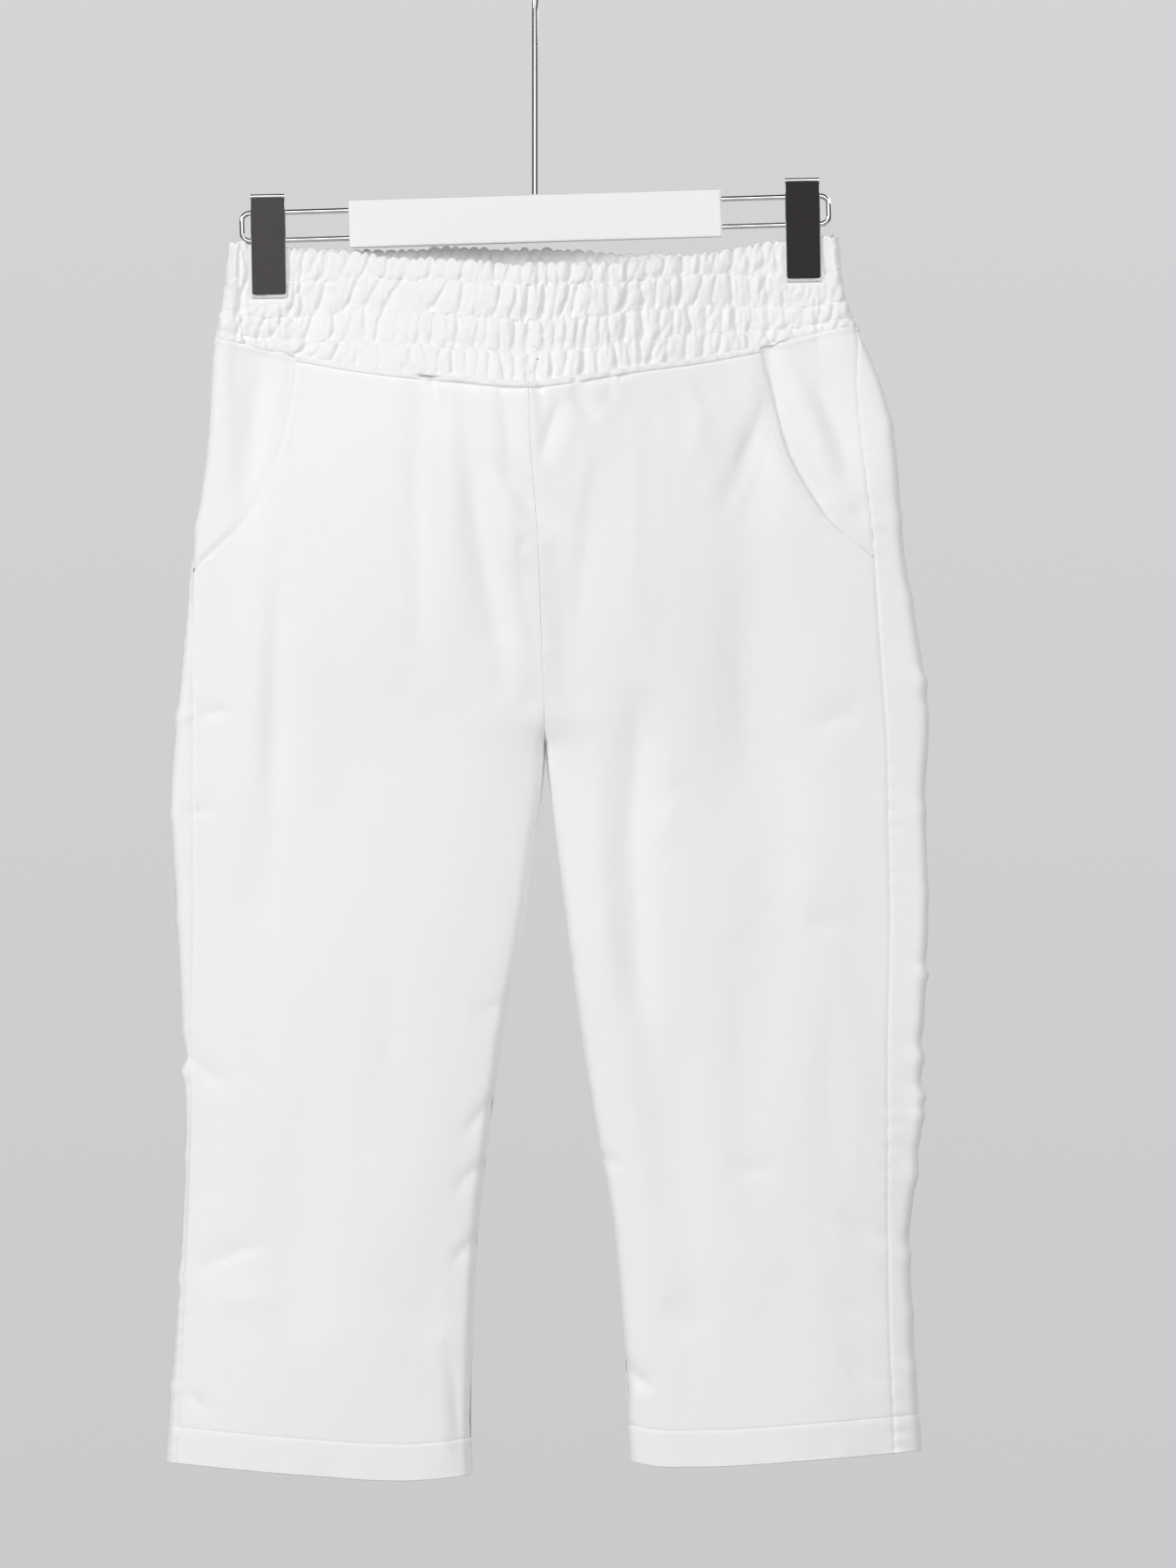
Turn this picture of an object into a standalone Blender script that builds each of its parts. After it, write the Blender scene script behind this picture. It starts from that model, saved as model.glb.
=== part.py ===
"""Capri trousers with a gathered elastic waistband, hung from a clip hanger.

Blender units are metres and +Z is up. The origin is where the hook sits on its rail.
The garment faces -Y, and its wearer's right is at -X.

The tables and sizes below are in millimetres. "x" runs to +X, "depth" is how far a
point lies below the hook's seat, and "side" is -1 for the wearer's right half and +1
for the left half. Each half of the garment is one ring that its panels share: "turn"
is 0 at the outermost fold, runs to 1 across the front and to -1 across the back, and
ends at the centre seam or, below the crotch, at the inseam.
"""

import math
from collections import namedtuple

import bmesh
import bpy
import numpy as np
from mathutils import Vector

MM = 0.001

# --- cloth -----------------------------------------------------------------------
WALL = 1.2
HEM_WALL = 2.2
HEM_HEIGHT = 23.0
HEM_STEP = 1.5
SEAM_GAP = 0.3
CROTCH_DEPTH = 522.0
CROTCH_RISE = 16.0
CROTCH_CURVE = 0.5
SPLIT_SPREAD = 110.0
SPLIT_POWER = 2.0
FOLD_HALF = 6.0
FOLD_REACH = 8.0
ROOF_POWER = 0.3
MERGE = 0.01
PANEL_SHARP = 40
GATHER_SHARP = 14

# Depths run down. Half depths are measured from the plane that the clips hold, and
# "hold" is how much of the clamped shape is left, from 1 at the clips to 0.
Section = namedtuple(
    "Section",
    "depth right_edge right_seam right_inner left_inner left_seam left_edge "
    "front_half back_half hold",
)
SECTIONS = [
    Section(198, -194.0, -194.0, -1.0, -1.0, 194.0, 194.0, 24, 20, 1.00),
    Section(246, -200.0, -200.0, -2.0, -2.0, 200.3, 200.3, 28, 24, 1.00),
    Section(263, -204.0, -204.0, -3.0, -3.0, 205.5, 207.5, 30, 26, 0.85),
    Section(297, -207.0, -207.0, -4.0, -4.0, 205.5, 222.0, 32.5, 30, 0.60),
    Section(330, -209.0, -209.0, -3.0, -3.0, 208.5, 229.5, 34, 33, 0.35),
    Section(397, -218.0, -218.0, 2.0, 2.0, 216.0, 235.5, 32.5, 36, 0.08),
    Section(463, -224.5, -219.5, 4.5, 4.5, 220.5, 246.0, 27, 34, 0.00),
    Section(505, -228.5, -218.5, 6.0, 6.0, 223.5, 252.5, 22.5, 28, 0.00),
    Section(530, -231.0, -218.5, 6.4, 7.0, 225.0, 251.5, 20.5, 24.5, 0.00),
    Section(558, -233.0, -218.5, 4.5, 10.0, 225.5, 249.5, 19.5, 22.5, 0.00),
    Section(586, -232.0, -218.5, 0.0, 13.5, 226.0, 250.5, 19.5, 22, 0.00),
    Section(630, -229.5, -218.0, -6.0, 19.5, 227.0, 251.5, 20, 22, 0.00),
    Section(718, -225.5, -220.0, -21.0, 31.5, 225.5, 248.5, 21, 23, 0.00),
    Section(780, -223.0, -221.0, -30.0, 40.5, 225.5, 247.0, 21, 23, 0.00),
    Section(830, -225.0, -223.0, -35.5, 49.0, 225.5, 240.5, 21.5, 23, 0.00),
    Section(902, -230.0, -226.0, -39.5, 56.0, 226.5, 242.0, 22, 23, 0.00),
    Section(983, -235.5, -229.5, -41.0, 60.5, 230.0, 248.0, 22, 24, 0.00),
    Section(1003, -236.5, -230.5, -41.0, 61.0, 230.5, 249.0, 22, 24, 0.00),
]

# --- lines across the garment, each from -X to +X --------------------------------
Level = namedtuple("Level", "x depth")
FRONT_TOP = [
    Level(-195, 206.5),
    Level(-170, 209.0),
    Level(-120, 213.5),
    Level(-60, 218.0),
    Level(14, 220.7),
    Level(90, 216.0),
    Level(170, 204.5),
    Level(196, 202.0),
]
BACK_TOP = [
    Level(-195, 206.5),
    Level(-170, 209.0),
    Level(-120, 212.0),
    Level(-60, 210.5),
    Level(-10, 210.5),
    Level(68, 214.5),
    Level(110, 214.5),
    Level(170, 205.0),
    Level(196, 202.0),
]
FRONT_WAIST_SEAM = [
    Level(-205, 267.5),
    Level(-156, 277.4),
    Level(-110, 285.6),
    Level(-73, 289.8),
    Level(-48, 291.8),
    Level(-24, 294.3),
    Level(0, 295.0),
    Level(16, 293.3),
    Level(48, 288.2),
    Level(66, 285.3),
    Level(106, 279.7),
    Level(142, 272.9),
    Level(208, 258.3),
]
BACK_WAIST_SEAM = [
    Level(-205, 267.5),
    Level(-100, 277.0),
    Level(0, 281.0),
    Level(100, 273.0),
    Level(208, 258.5),
]
RIGHT_HEM = [
    Level(-237, 985.0),
    Level(-204, 988.0),
    Level(-151, 992.5),
    Level(-75, 996.0),
    Level(-40, 993.0),
]
LEFT_HEM = [
    Level(60, 984.0),
    Level(76, 987.0),
    Level(104, 987.5),
    Level(173, 983.5),
    Level(249, 977.5),
]

# --- curved pocket openings, from the waist seam down to the side seam -----------
Opening = namedtuple("Opening", "depth x")
RIGHT_POCKET = [
    Opening(270, -152.5),
    Opening(294, -154.0),
    Opening(316, -158.0),
    Opening(337, -163.0),
    Opening(352, -168.5),
    Opening(371, -176.0),
    Opening(386, -186.0),
    Opening(397, -197.0),
    Opening(407, -208.0),
    Opening(417, -219.0),
]
LEFT_POCKET = [
    Opening(262, 141.0),
    Opening(278, 145.0),
    Opening(295, 149.5),
    Opening(318, 155.5),
    Opening(347, 165.0),
    Opening(366, 175.5),
    Opening(384, 188.0),
    Opening(398, 205.0),
    Opening(408, 217.0),
]
FACING_LAP_COLUMNS = 2
FACING_SIDE_GAP = 0.45
FACING_RAMP = 7.0

# --- largest folds: troughs that run down the cloth, with a ridge beside them ----
Fold = namedtuple(
    "Fold",
    "face top_depth bottom_depth top_x middle_x bottom_x half_width dip ridge",
)
FOLDS = [
    Fold("front", 385, 640, -164, -168, -178, 11, 3.0, -0.6),
    Fold("front", 270, 385, -176, -172, -180, 10, 2.5, 0.4),
    Fold("front", 276, 490, -73, -74, -70, 11, 4.2, 0.6),
    Fold("front", 296, 500, -57, -42, -22, 10, 4.2, 0.5),
    Fold("front", 492, 705, 57, 52, 62, 12, 6.2, -0.5),
    Fold("front", 630, 930, 52, 78, 100, 12, 5.0, -0.4),
    Fold("front", 330, 780, 128, 141, 153, 23, 5.2, 0.3),
    Fold("front", 296, 380, 150, 138, 120, 9, 2.4, 0.2),
    Fold("front", 272, 385, 152, 166, 190, 10, 2.5, -0.4),
    Fold("back", 290, 520, -118, -104, -72, 13, 4.0, 0.5),
    Fold("back", 300, 610, 96, 84, 78, 14, 4.5, -0.5),
    Fold("back", 560, 930, -150, -128, -120, 15, 4.0, 0.5),
    Fold("back", 600, 900, 176, 158, 160, 14, 4.0, -0.5),
]
FOLD_EDGE_FADE = 0.16

# --- waistband: a frill over three channels of elastic, gathered all round -------
BAND_WALL = 3.0
BAND_PINCH = 3.2
BAND_EDGE = 1.2
BAND_MIDDLE_CLEARANCE = 0.15
END_LOOP = 1.6
FOLD_ROUNDING = 4.4
GATHERS = 50
GATHER_DRIFT = 0.30
GATHER_HEIGHT = 1.5
CHANNEL_PUFF = 1.5

# Rows of the waistband, from its top edge to its seam. "centre" and "end" are shares
# of its height, and the rest are shares of the relief that a row carries.
BandRow = namedtuple("BandRow", "centre end puff gather")
BAND_ROWS = [
    BandRow(0.00, 0.00, 0.3, 1.0),
    BandRow(0.10, 0.20, 0.8, 1.0),
    BandRow(0.18, 0.37, -0.3, 0.4),
    BandRow(0.33, 0.55, 1.0, 1.0),
    BandRow(0.47, 0.70, -0.3, 0.4),
    BandRow(0.61, 0.80, 1.0, 1.0),
    BandRow(0.75, 0.90, -0.3, 0.4),
    BandRow(0.88, 0.96, 1.0, 1.0),
    BandRow(1.00, 1.00, 0.0, 0.3),
]

# --- hanger ----------------------------------------------------------------------
ROD_RADIUS = 1.9
HOOK_RADIUS = 21.0
HOOK_JOIN_ANGLE = math.radians(-55)
HOOK_END_ANGLE = math.radians(205)
HOOK_SWEEP_STEPS = 20
NECK_DEPTH = 58.0
NECK_HANDLE = 12.0
NECK_STEPS = 6
BAR_TILT = math.radians(1.74)
BAR_CENTRE_X = 0.3
BAR_CENTRE_DEPTH = 191.0
BLOCK_LENGTH = 238.0
BLOCK_THICKNESS = 12.0
BLOCK_HEIGHT = 30.6
BLOCK_ROUNDING = 1.2
WIRE_RADIUS = 1.7
WIRE_SPACING = 17.8
WIRE_REACH = 187.5
WIRE_CORNER = 5.0
WIRE_CORNER_STEPS = 4
CLIP_OFFSET = 170.8
CLIP_TILT = math.radians(1.0)
CLIP_WIDTH = 22.2
CLIP_HEIGHT = 66.3
CLIP_RISE = 11.9
CLIP_SHEET = 0.9
CLIP_HALF_GAP = 3.5
CLIP_CORNER = 1.4
FACE_WIDTH = 21.4
FACE_HEIGHT = 62.2
FACE_THICKNESS = 0.8
FACE_LIFT = 0.1
FACE_CORNER = 1.6
CLIP_FLAT = 14.5

# --- mesh density ----------------------------------------------------------------
FRONT_COLUMNS = 15
BACK_COLUMNS = 18
POCKET_ROWS = 6
RISE_ROWS = 4
LEG_ROWS = 11
FACING_COLUMNS = 4

MATERIALS = {
    "cloth": ((0.88, 0.88, 0.90, 1.0), 0.55, 0.0),
    "white_plastic": ((0.86, 0.86, 0.87, 1.0), 0.45, 0.0),
    "chrome": ((0.75, 0.75, 0.76, 1.0), 0.12, 1.0),
    "dark_face": ((0.045, 0.040, 0.045, 1.0), 0.30, 0.0),
}


# === reading the tables ==========================================================
def read(table, key, name, at):
    """A column's value at a place, on a smooth curve through the table's rows."""
    places = np.array([getattr(row, key) for row in table], float)
    values = np.array([getattr(row, name) for row in table], float)
    slopes = np.gradient(values, places)
    at = np.clip(np.asarray(at, float), places[0], places[-1])
    low = np.clip(np.searchsorted(places, at) - 1, 0, len(places) - 2)
    step = places[low + 1] - places[low]
    t = (at - places[low]) / step
    return (
        (2 * t**3 - 3 * t**2 + 1) * values[low]
        + (t**3 - 2 * t**2 + t) * step * slopes[low]
        + (3 * t**2 - 2 * t**3) * values[low + 1]
        + (t**3 - t**2) * step * slopes[low + 1]
    )


def section(name, depth):
    return read(SECTIONS, "depth", name, depth)


def of_side(side, name, depth):
    """A column that has one value for each half, such as its edge."""
    return np.where(
        side < 0, section("right_" + name, depth), section("left_" + name, depth)
    )


def level(line, x):
    return read(line, "x", "depth", x)


def smooth(t):
    t = np.clip(t, 0.0, 1.0)
    return t * t * (3 - 2 * t)


# === the garment's surface =======================================================
def leg_share(turn, depth):
    """0 where the halves share one hollow, 1 where each leg is its own tube.

    At the middle seam it is the crotch's curve, and away from it the change is slower.
    """
    above = CROTCH_DEPTH - depth
    away = 1 - np.abs(turn)
    rise = (above + np.sqrt(above**2 + (SPLIT_SPREAD * away) ** 2)) / 2
    power = CROTCH_CURVE + (SPLIT_POWER - CROTCH_CURVE) * away
    return 1.0 - np.sin(np.pi / 2 * np.clip(rise / CROTCH_RISE, 0.0, 1.0)) ** power


def fold_round(t):
    """Quarter of a round fold, from 0 at its crest to 1 where the cloth leaves it."""
    return np.sqrt(1 - (1 - np.clip(t, 0.0, 1.0)) ** 2)


def free_half(span, share, half, width):
    """Half depth of free cloth: a tight fold at each edge and a low roof between."""
    outer = fold_round(span * width / FOLD_REACH)
    inner = fold_round((1 - span) * width / FOLD_REACH)
    fold = FOLD_HALF * outer * (1 - share * (1 - inner))
    roof = (1 - share) * np.sin(np.pi * span / 2)
    roof = roof + share * np.maximum(np.sin(np.pi * span), 0.0) ** ROOF_POWER
    return fold + (half - FOLD_HALF) * roof


def clamped_half(span, half, width):
    """Half depth where the clips hold: flat at the clip, open between the clips."""
    clip = (width - CLIP_OFFSET) / width
    flat = CLIP_FLAT / width
    mouth = smooth((span - clip - flat) / (1 - clip - flat))
    loop = np.sin(np.pi * np.clip(span / (clip - flat), 0.0, 1.0)) ** 2
    open_half = BAND_PINCH + (half - BAND_PINCH) * mouth + END_LOOP * loop
    return open_half * fold_round(span * width / FOLD_ROUNDING)


def span_of(turn, depth):
    """How far across its half a turn lies, from 0 at the outer fold to 1."""
    angle = np.abs(turn) * np.pi
    share = leg_share(turn, depth)
    return (1 - share) * (1 - np.cos(angle / 2)) + share * (1 - np.cos(angle)) / 2


def ring_x(side, turn, depth):
    edge = of_side(side, "edge", depth)
    return edge + (of_side(side, "inner", depth) - edge) * span_of(turn, depth)


def fold_dip(face, x, depth):
    """How far the folds of a face sink in at a place."""
    total = np.zeros(np.broadcast(x, depth).shape)
    for fold in FOLDS:
        if fold.face != face:
            continue
        t = (depth - fold.top_depth) / (fold.bottom_depth - fold.top_depth)
        bend = 4 * (fold.middle_x - (fold.top_x + fold.bottom_x) / 2)
        line = fold.top_x + (fold.bottom_x - fold.top_x) * t + bend * t * (1 - t)
        across = (x - line) / fold.half_width
        beside = across - 1.7 * np.sign(fold.ridge)
        shape = np.exp(-(across**2)) - abs(fold.ridge) * np.exp(-(beside**2))
        total += fold.dip * shape * np.sin(np.pi * np.clip(t, 0.0, 1.0)) ** 0.7
    return total


def ring_half(side, turn, depth):
    """Half depth of the ring at a turn, before its folds."""
    half = np.where(turn >= 0, section("front_half", depth), section("back_half", depth))
    width = np.abs(of_side(side, "inner", depth) - of_side(side, "edge", depth))
    span = span_of(turn, depth)
    free = free_half(span, leg_share(turn, depth), half, width)
    held = clamped_half(span, half, width)
    hold = np.clip(section("hold", depth), 0.0, 1.0)
    return hold * held + (1 - hold) * free


def ring(side, turn, depth):
    """A point of the cloth's outside, as (x, y, -depth)."""
    x = ring_x(side, turn, depth)
    share = leg_share(turn, depth)
    outer_fade = smooth(np.abs(turn) / FOLD_EDGE_FADE)
    inner_fade = 1 - share * (1 - smooth((1 - np.abs(turn)) / FOLD_EDGE_FADE))
    dip = np.where(
        turn >= 0, fold_dip("front", x, depth), fold_dip("back", x, depth)
    )
    half = ring_half(side, turn, depth) - dip * outer_fade * inner_fade
    y = -np.where(turn >= 0, 1.0, -1.0) * half
    return np.stack(np.broadcast_arrays(x, y, -depth), axis=-1)


def unit(vectors):
    return vectors / np.linalg.norm(vectors, axis=-1, keepdims=True)


def outward(side, turn, depth):
    """Unit normal of the outside, from the surface's own slopes."""
    turn_step, depth_step = 0.002, 0.5
    across = ring(side, np.minimum(turn + turn_step, 1), depth) - ring(
        side, np.maximum(turn - turn_step, -1), depth
    )
    down = ring(side, turn, depth + depth_step) - ring(side, turn, depth - depth_step)
    normal = unit(np.cross(across, down))
    return normal * np.asarray(side, float)[..., None]


def surface(side, turn, depth, lift=0.0):
    """The outside moved out by "lift", or in where it is negative."""
    turn, depth, lift = np.broadcast_arrays(turn, depth, lift)
    side = np.broadcast_to(side, turn.shape)
    return ring(side, turn, depth) + outward(side, turn, depth) * lift[..., None]


def turn_at(side, x, depth):
    """The front turn whose x is the given one, found by halving."""
    low = np.zeros(np.broadcast(x, depth).shape)
    high = np.ones_like(low)
    for _ in range(40):
        middle = (low + high) / 2
        outside = side * (ring_x(side, middle, depth) - x) > 0
        low = np.where(outside, middle, low)
        high = np.where(outside, high, middle)
    return (low + high) / 2


def beside(side, turn, depth, distance):
    """The turn that lies a distance along the cloth towards the front's middle."""
    step = 0.002
    move = ring(side, turn + step, depth) - ring(side, turn - step, depth)
    return turn + distance * 2 * step / np.linalg.norm(move, axis=-1)


def side_seam_turn(side, depth):
    return turn_at(side, of_side(side, "seam", depth), depth)


def pocket_of(side):
    return RIGHT_POCKET if side < 0 else LEFT_POCKET


def front_edge_turn(side, depth):
    """The front panel's outer edge: the pocket opening, and below it the side seam."""
    pocket = pocket_of(side)
    opening = turn_at(side, read(pocket, "depth", "x", depth), depth)
    seam = side_seam_turn(side, depth)
    return np.where(depth < pocket[-1].depth, np.maximum(opening, seam), seam)


# === closed walls from grids =====================================================
def strip(first, second):
    """Four-sided faces between two lines of point numbers."""
    return [
        (first[i], first[i + 1], second[i + 1], second[i]) for i in range(len(first) - 1)
    ]


def wall(name, outside, inside, material, collection, sharp=PANEL_SHARP):
    """One closed wall between two grids of points, which share their column count.

    Its edges follow the seams' own normals, so that walls meet face to face across
    a seam, and its two sides may differ: gathers outside, and a plain inside.
    """
    out = np.arange(outside[..., 0].size).reshape(outside.shape[:2])
    back = out.size + np.arange(inside[..., 0].size).reshape(inside.shape[:2])
    faces = strip(back[0], out[0]) + strip(out[-1], back[-1])
    for grid in (out, back):
        for upper, lower in zip(grid[:-1], grid[1:]):
            faces += strip(upper, lower)
    for column in (0, -1):
        if len(out) == len(back):
            faces += strip(out[:, column], back[:, column])
        else:
            faces.append((*out[:, column], *back[::-1, column]))
    points = np.concatenate([outside.reshape(-1, 3), inside.reshape(-1, 3)]) * MM
    mesh = bpy.data.meshes.new(name)
    mesh.from_pydata(points.tolist(), [], [tuple(map(int, face)) for face in faces])
    work = bmesh.new()
    work.from_mesh(mesh)
    bmesh.ops.remove_doubles(work, verts=work.verts, dist=MERGE * MM)
    bmesh.ops.recalc_face_normals(work, faces=work.faces)
    work.to_mesh(mesh)
    work.free()
    mesh.materials.append(material)
    mesh.shade_smooth()
    mesh.set_sharp_from_angle(angle=math.radians(sharp))
    item = bpy.data.objects.new(name, mesh)
    collection.objects.link(item)
    return item


# === panels ======================================================================
def hem_of(side):
    return RIGHT_HEM if side < 0 else LEFT_HEM


def share_down(side, x, depth):
    """How far down from the waist seam a depth lies, from 0 to 1 at the hem."""
    top = level(FRONT_WAIST_SEAM, x)
    return (depth - top) / (level(hem_of(side), x) - top)


def panel_rows(side):
    """Shares down the panel, with a row at the pocket's end and one at the crotch."""
    pocket_end = pocket_of(side)[-1]
    pocket = share_down(side, pocket_end.x, pocket_end.depth)
    inner_x = of_side(side, "inner", CROTCH_DEPTH)
    crotch = share_down(side, inner_x, CROTCH_DEPTH)
    hem_x = of_side(side, "inner", 983.0)
    length = level(hem_of(side), hem_x) - level(FRONT_WAIST_SEAM, hem_x)
    hem_top = 1 - HEM_HEIGHT / length
    pocket_rows = np.linspace(0, pocket, POCKET_ROWS + 1)
    rise_rows = np.linspace(pocket, crotch, RISE_ROWS + 1)[1:]
    leg_rows = np.linspace(crotch, hem_top, LEG_ROWS + 1)[1:]
    hem_rows = [hem_top + HEM_STEP / length, 1.0]
    return np.concatenate([pocket_rows, rise_rows, leg_rows, hem_rows])


def panel_places(side, seam_line, first, columns):
    """Turn and depth of each grid point, from a first turn to the centre of a face."""
    last = 1.0 if seam_line is FRONT_WAIST_SEAM else -1.0
    across = np.linspace(0, 1, columns + 1)[None, :]
    share = panel_rows(side)[:, None]
    depth = 270.0 + 710.0 * share + 0 * across
    for _ in range(6):
        start = first(side, depth)
        turn = start + (last - start) * across
        x = ring_x(side, turn, depth)
        top = level(seam_line, x) + SEAM_GAP / 2
        depth = top + (level(hem_of(side), x) - top) * share
    depth[POCKET_ROWS, 0] = pocket_of(side)[-1].depth
    depth[POCKET_ROWS + RISE_ROWS, -1] = CROTCH_DEPTH
    start = first(side, depth)
    turn = start + (last - start) * across
    return close_seams(side, turn, depth), depth


def close_seams(side, turn, depth):
    """Draws the first and last columns back from their seams by half a gap."""
    toward = np.sign(turn[:, -1] - turn[:, 0])
    turn = turn.copy()
    turn[:, 0] = beside(side, turn[:, 0], depth[:, 0], toward * SEAM_GAP / 2)
    inner = turn[:, -1] * 0.998
    shifted = beside(side, inner, depth[:, -1], -toward * SEAM_GAP / 2)
    turn[:, -1] += shifted - inner
    return turn


def panel(name, side, seam_line, first, columns, material, collection):
    turn, depth = panel_places(side, seam_line, first, columns)
    thickness = np.full(turn.shape, WALL)
    thickness[-2:, :] = HEM_WALL
    outside = surface(side, turn, depth)
    inside = surface(side, turn, depth, -thickness)
    return wall(name, outside, inside, material, collection)


def pocket_facing(name, side, material, collection):
    """The hip piece under the pocket opening, flush at the side seam.

    Its rows and its lap are the front panel's own points, moved in under the panel.
    """
    turn, depth = panel_places(side, FRONT_WAIST_SEAM, front_edge_turn, FRONT_COLUMNS)
    rows = slice(0, POCKET_ROWS + 1)
    lap = slice(0, FACING_LAP_COLUMNS + 1)
    lap_turn, lap_depth = turn[rows, lap], depth[rows, lap]
    edge_turn, edge_depth = lap_turn[:, :1], lap_depth[:, :1]
    across = np.linspace(0, 1, FACING_COLUMNS + 1)[None, :-1]
    share = panel_rows(side)[rows, None]
    hip_depth = edge_depth + 0 * across
    for _ in range(6):
        seam = side_seam_turn(side, hip_depth)
        seam = beside(side, seam, hip_depth, FACING_SIDE_GAP)
        hip_turn = seam + (edge_turn - seam) * across
        x = ring_x(side, hip_turn, hip_depth)
        top = level(FRONT_WAIST_SEAM, x) + SEAM_GAP / 2
        hip_depth = top + (level(hem_of(side), x) - top) * share
    hip_turn[-1, :] = edge_turn[-1, 0]
    hip_depth[-1, :] = edge_depth[-1, 0]
    edge_x = ring_x(side, edge_turn, edge_depth)
    short_of_edge = side * (ring_x(side, hip_turn, hip_depth) - edge_x)
    drop = np.hstack([smooth(1 - short_of_edge / FACING_RAMP), np.ones(lap_turn.shape)])
    lift = -(WALL + SEAM_GAP) * drop
    turn = np.hstack([hip_turn, lap_turn])
    depth = np.hstack([hip_depth, lap_depth])
    outside = surface(side, turn, depth, lift)
    inside = surface(side, turn, depth, lift - WALL)
    return wall(name, outside, inside, material, collection)


# === waistband ===================================================================
def gather_columns():
    """Uneven places across the waistband, two for each gather."""
    count = 2 * GATHERS
    place = np.linspace(0, 1, count + 1)
    drift = np.sin(place * 47.0) + 0.6 * np.sin(place * 83.0 + 1.0)
    drift *= np.sin(np.pi * place)
    return place + drift * GATHER_DRIFT / count


def clear_of_clips(x, depth):
    """0 under the clips, where the gathers are pressed flat, and 1 away from them."""
    clip_bottom = BAR_CENTRE_DEPTH - CLIP_RISE - WIRE_SPACING / 2 + CLIP_HEIGHT
    beyond = (np.abs(np.abs(x) - CLIP_OFFSET) - CLIP_WIDTH / 2 - 2.2) / 5.0
    below = (depth - clip_bottom - 8.0) / 6.0
    return smooth(np.maximum(beyond, below))


def waistband(name, face, material, collection):
    top_line = FRONT_TOP if face > 0 else BACK_TOP
    seam_line = FRONT_WAIST_SEAM if face > 0 else BACK_WAIST_SEAM
    columns = gather_columns()[None, :]
    end_weight = smooth((np.abs(2 * columns - 1) - 0.45) / 0.5)
    centre = np.array([row.centre for row in BAND_ROWS])[:, None]
    end = np.array([row.end for row in BAND_ROWS])[:, None]
    puff = np.array([row.puff for row in BAND_ROWS])[:, None] * CHANNEL_PUFF
    gather = np.array([row.gather for row in BAND_ROWS])[:, None] * GATHER_HEIGHT
    place = centre + (end - centre) * end_weight
    x = (2 * columns - 1) * -section("right_edge", 235.0) + 0 * place
    for _ in range(4):
        top = level(top_line, x)
        depth = top + (level(seam_line, x) - SEAM_GAP / 2 - top) * place
        start = section("right_edge", depth) + SEAM_GAP
        finish = section("left_edge", depth) - SEAM_GAP
        x = start + (finish - start) * columns
    middle = section("right_inner", depth)
    side = np.where(x < middle, -1, 1)
    edge = of_side(side, "edge", depth)
    span = np.clip((x - edge) / (middle - edge), 0.0, 1.0)
    turn = face * np.arccos(1 - span) * 2 / np.pi
    plain = ring_half(side, turn, depth)
    alternate = np.where(np.arange(columns.size) % 2 == 0, 1.0, -0.55)[None, :]
    uneven = 1 + 0.35 * np.sin(columns * 61.0 + face)
    relief = (puff + gather * alternate * uneven) * clear_of_clips(x, depth)
    outer = np.maximum(plain + relief, BAND_EDGE)
    inner = np.maximum(plain - BAND_WALL, BAND_MIDDLE_CLEARANCE)
    outside = np.stack([x, -face * outer, -depth], axis=-1)
    inside = np.stack([x, -face * inner, -depth], axis=-1)[[0, -1]]
    return wall(name, outside, inside, material, collection, GATHER_SHARP)


# === hanger ======================================================================
def tube(name, points, radius, material, collection):
    """A round wire along a list of points in millimetres, with closed ends."""
    data = bpy.data.curves.new(name, "CURVE")
    data.dimensions = "3D"
    data.bevel_depth = radius * MM
    data.bevel_resolution = 2
    data.use_fill_caps = True
    spline = data.splines.new("POLY")
    spline.points.add(len(points) - 1)
    for slot, (x, y, z) in zip(spline.points, points):
        slot.co = (x * MM, y * MM, z * MM, 1.0)
    data.materials.append(material)
    item = bpy.data.objects.new(name, data)
    collection.objects.link(item)
    return item


def bezier(start, handle, other, end, steps):
    t = np.linspace(0, 1, steps + 1)[:, None]
    return (
        (1 - t) ** 3 * start
        + 3 * (1 - t) ** 2 * t * handle
        + 3 * (1 - t) * t**2 * other
        + t**3 * end
    )


def bar_depth(x):
    """Depth of the tilted bar's centre line."""
    return BAR_CENTRE_DEPTH - (x - BAR_CENTRE_X) * math.tan(BAR_TILT)


def hook_points():
    """Up the rod, out through the neck and round the hook."""
    centre = np.array([0.0, 0.0, ROD_RADIUS - HOOK_RADIUS])

    def on_hook(angle):
        return centre + HOOK_RADIUS * np.array([math.cos(angle), 0.0, math.sin(angle)])

    join = on_hook(HOOK_JOIN_ANGLE)
    heading = np.array([-math.sin(HOOK_JOIN_ANGLE), 0.0, math.cos(HOOK_JOIN_ANGLE)])
    block_top = bar_depth(0.0) - BLOCK_HEIGHT / 2 / math.cos(BAR_TILT)
    foot = np.array([0.0, 0.0, -block_top + SEAM_GAP])
    neck = np.array([0.0, 0.0, -NECK_DEPTH])
    lift = np.array([0.0, 0.0, NECK_HANDLE])
    bend = bezier(neck, neck + lift, join - heading * NECK_HANDLE, join, NECK_STEPS)
    angles = np.linspace(HOOK_JOIN_ANGLE, HOOK_END_ANGLE, HOOK_SWEEP_STEPS + 1)[1:]
    return [foot, *bend, *[on_hook(angle) for angle in angles]]


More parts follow.
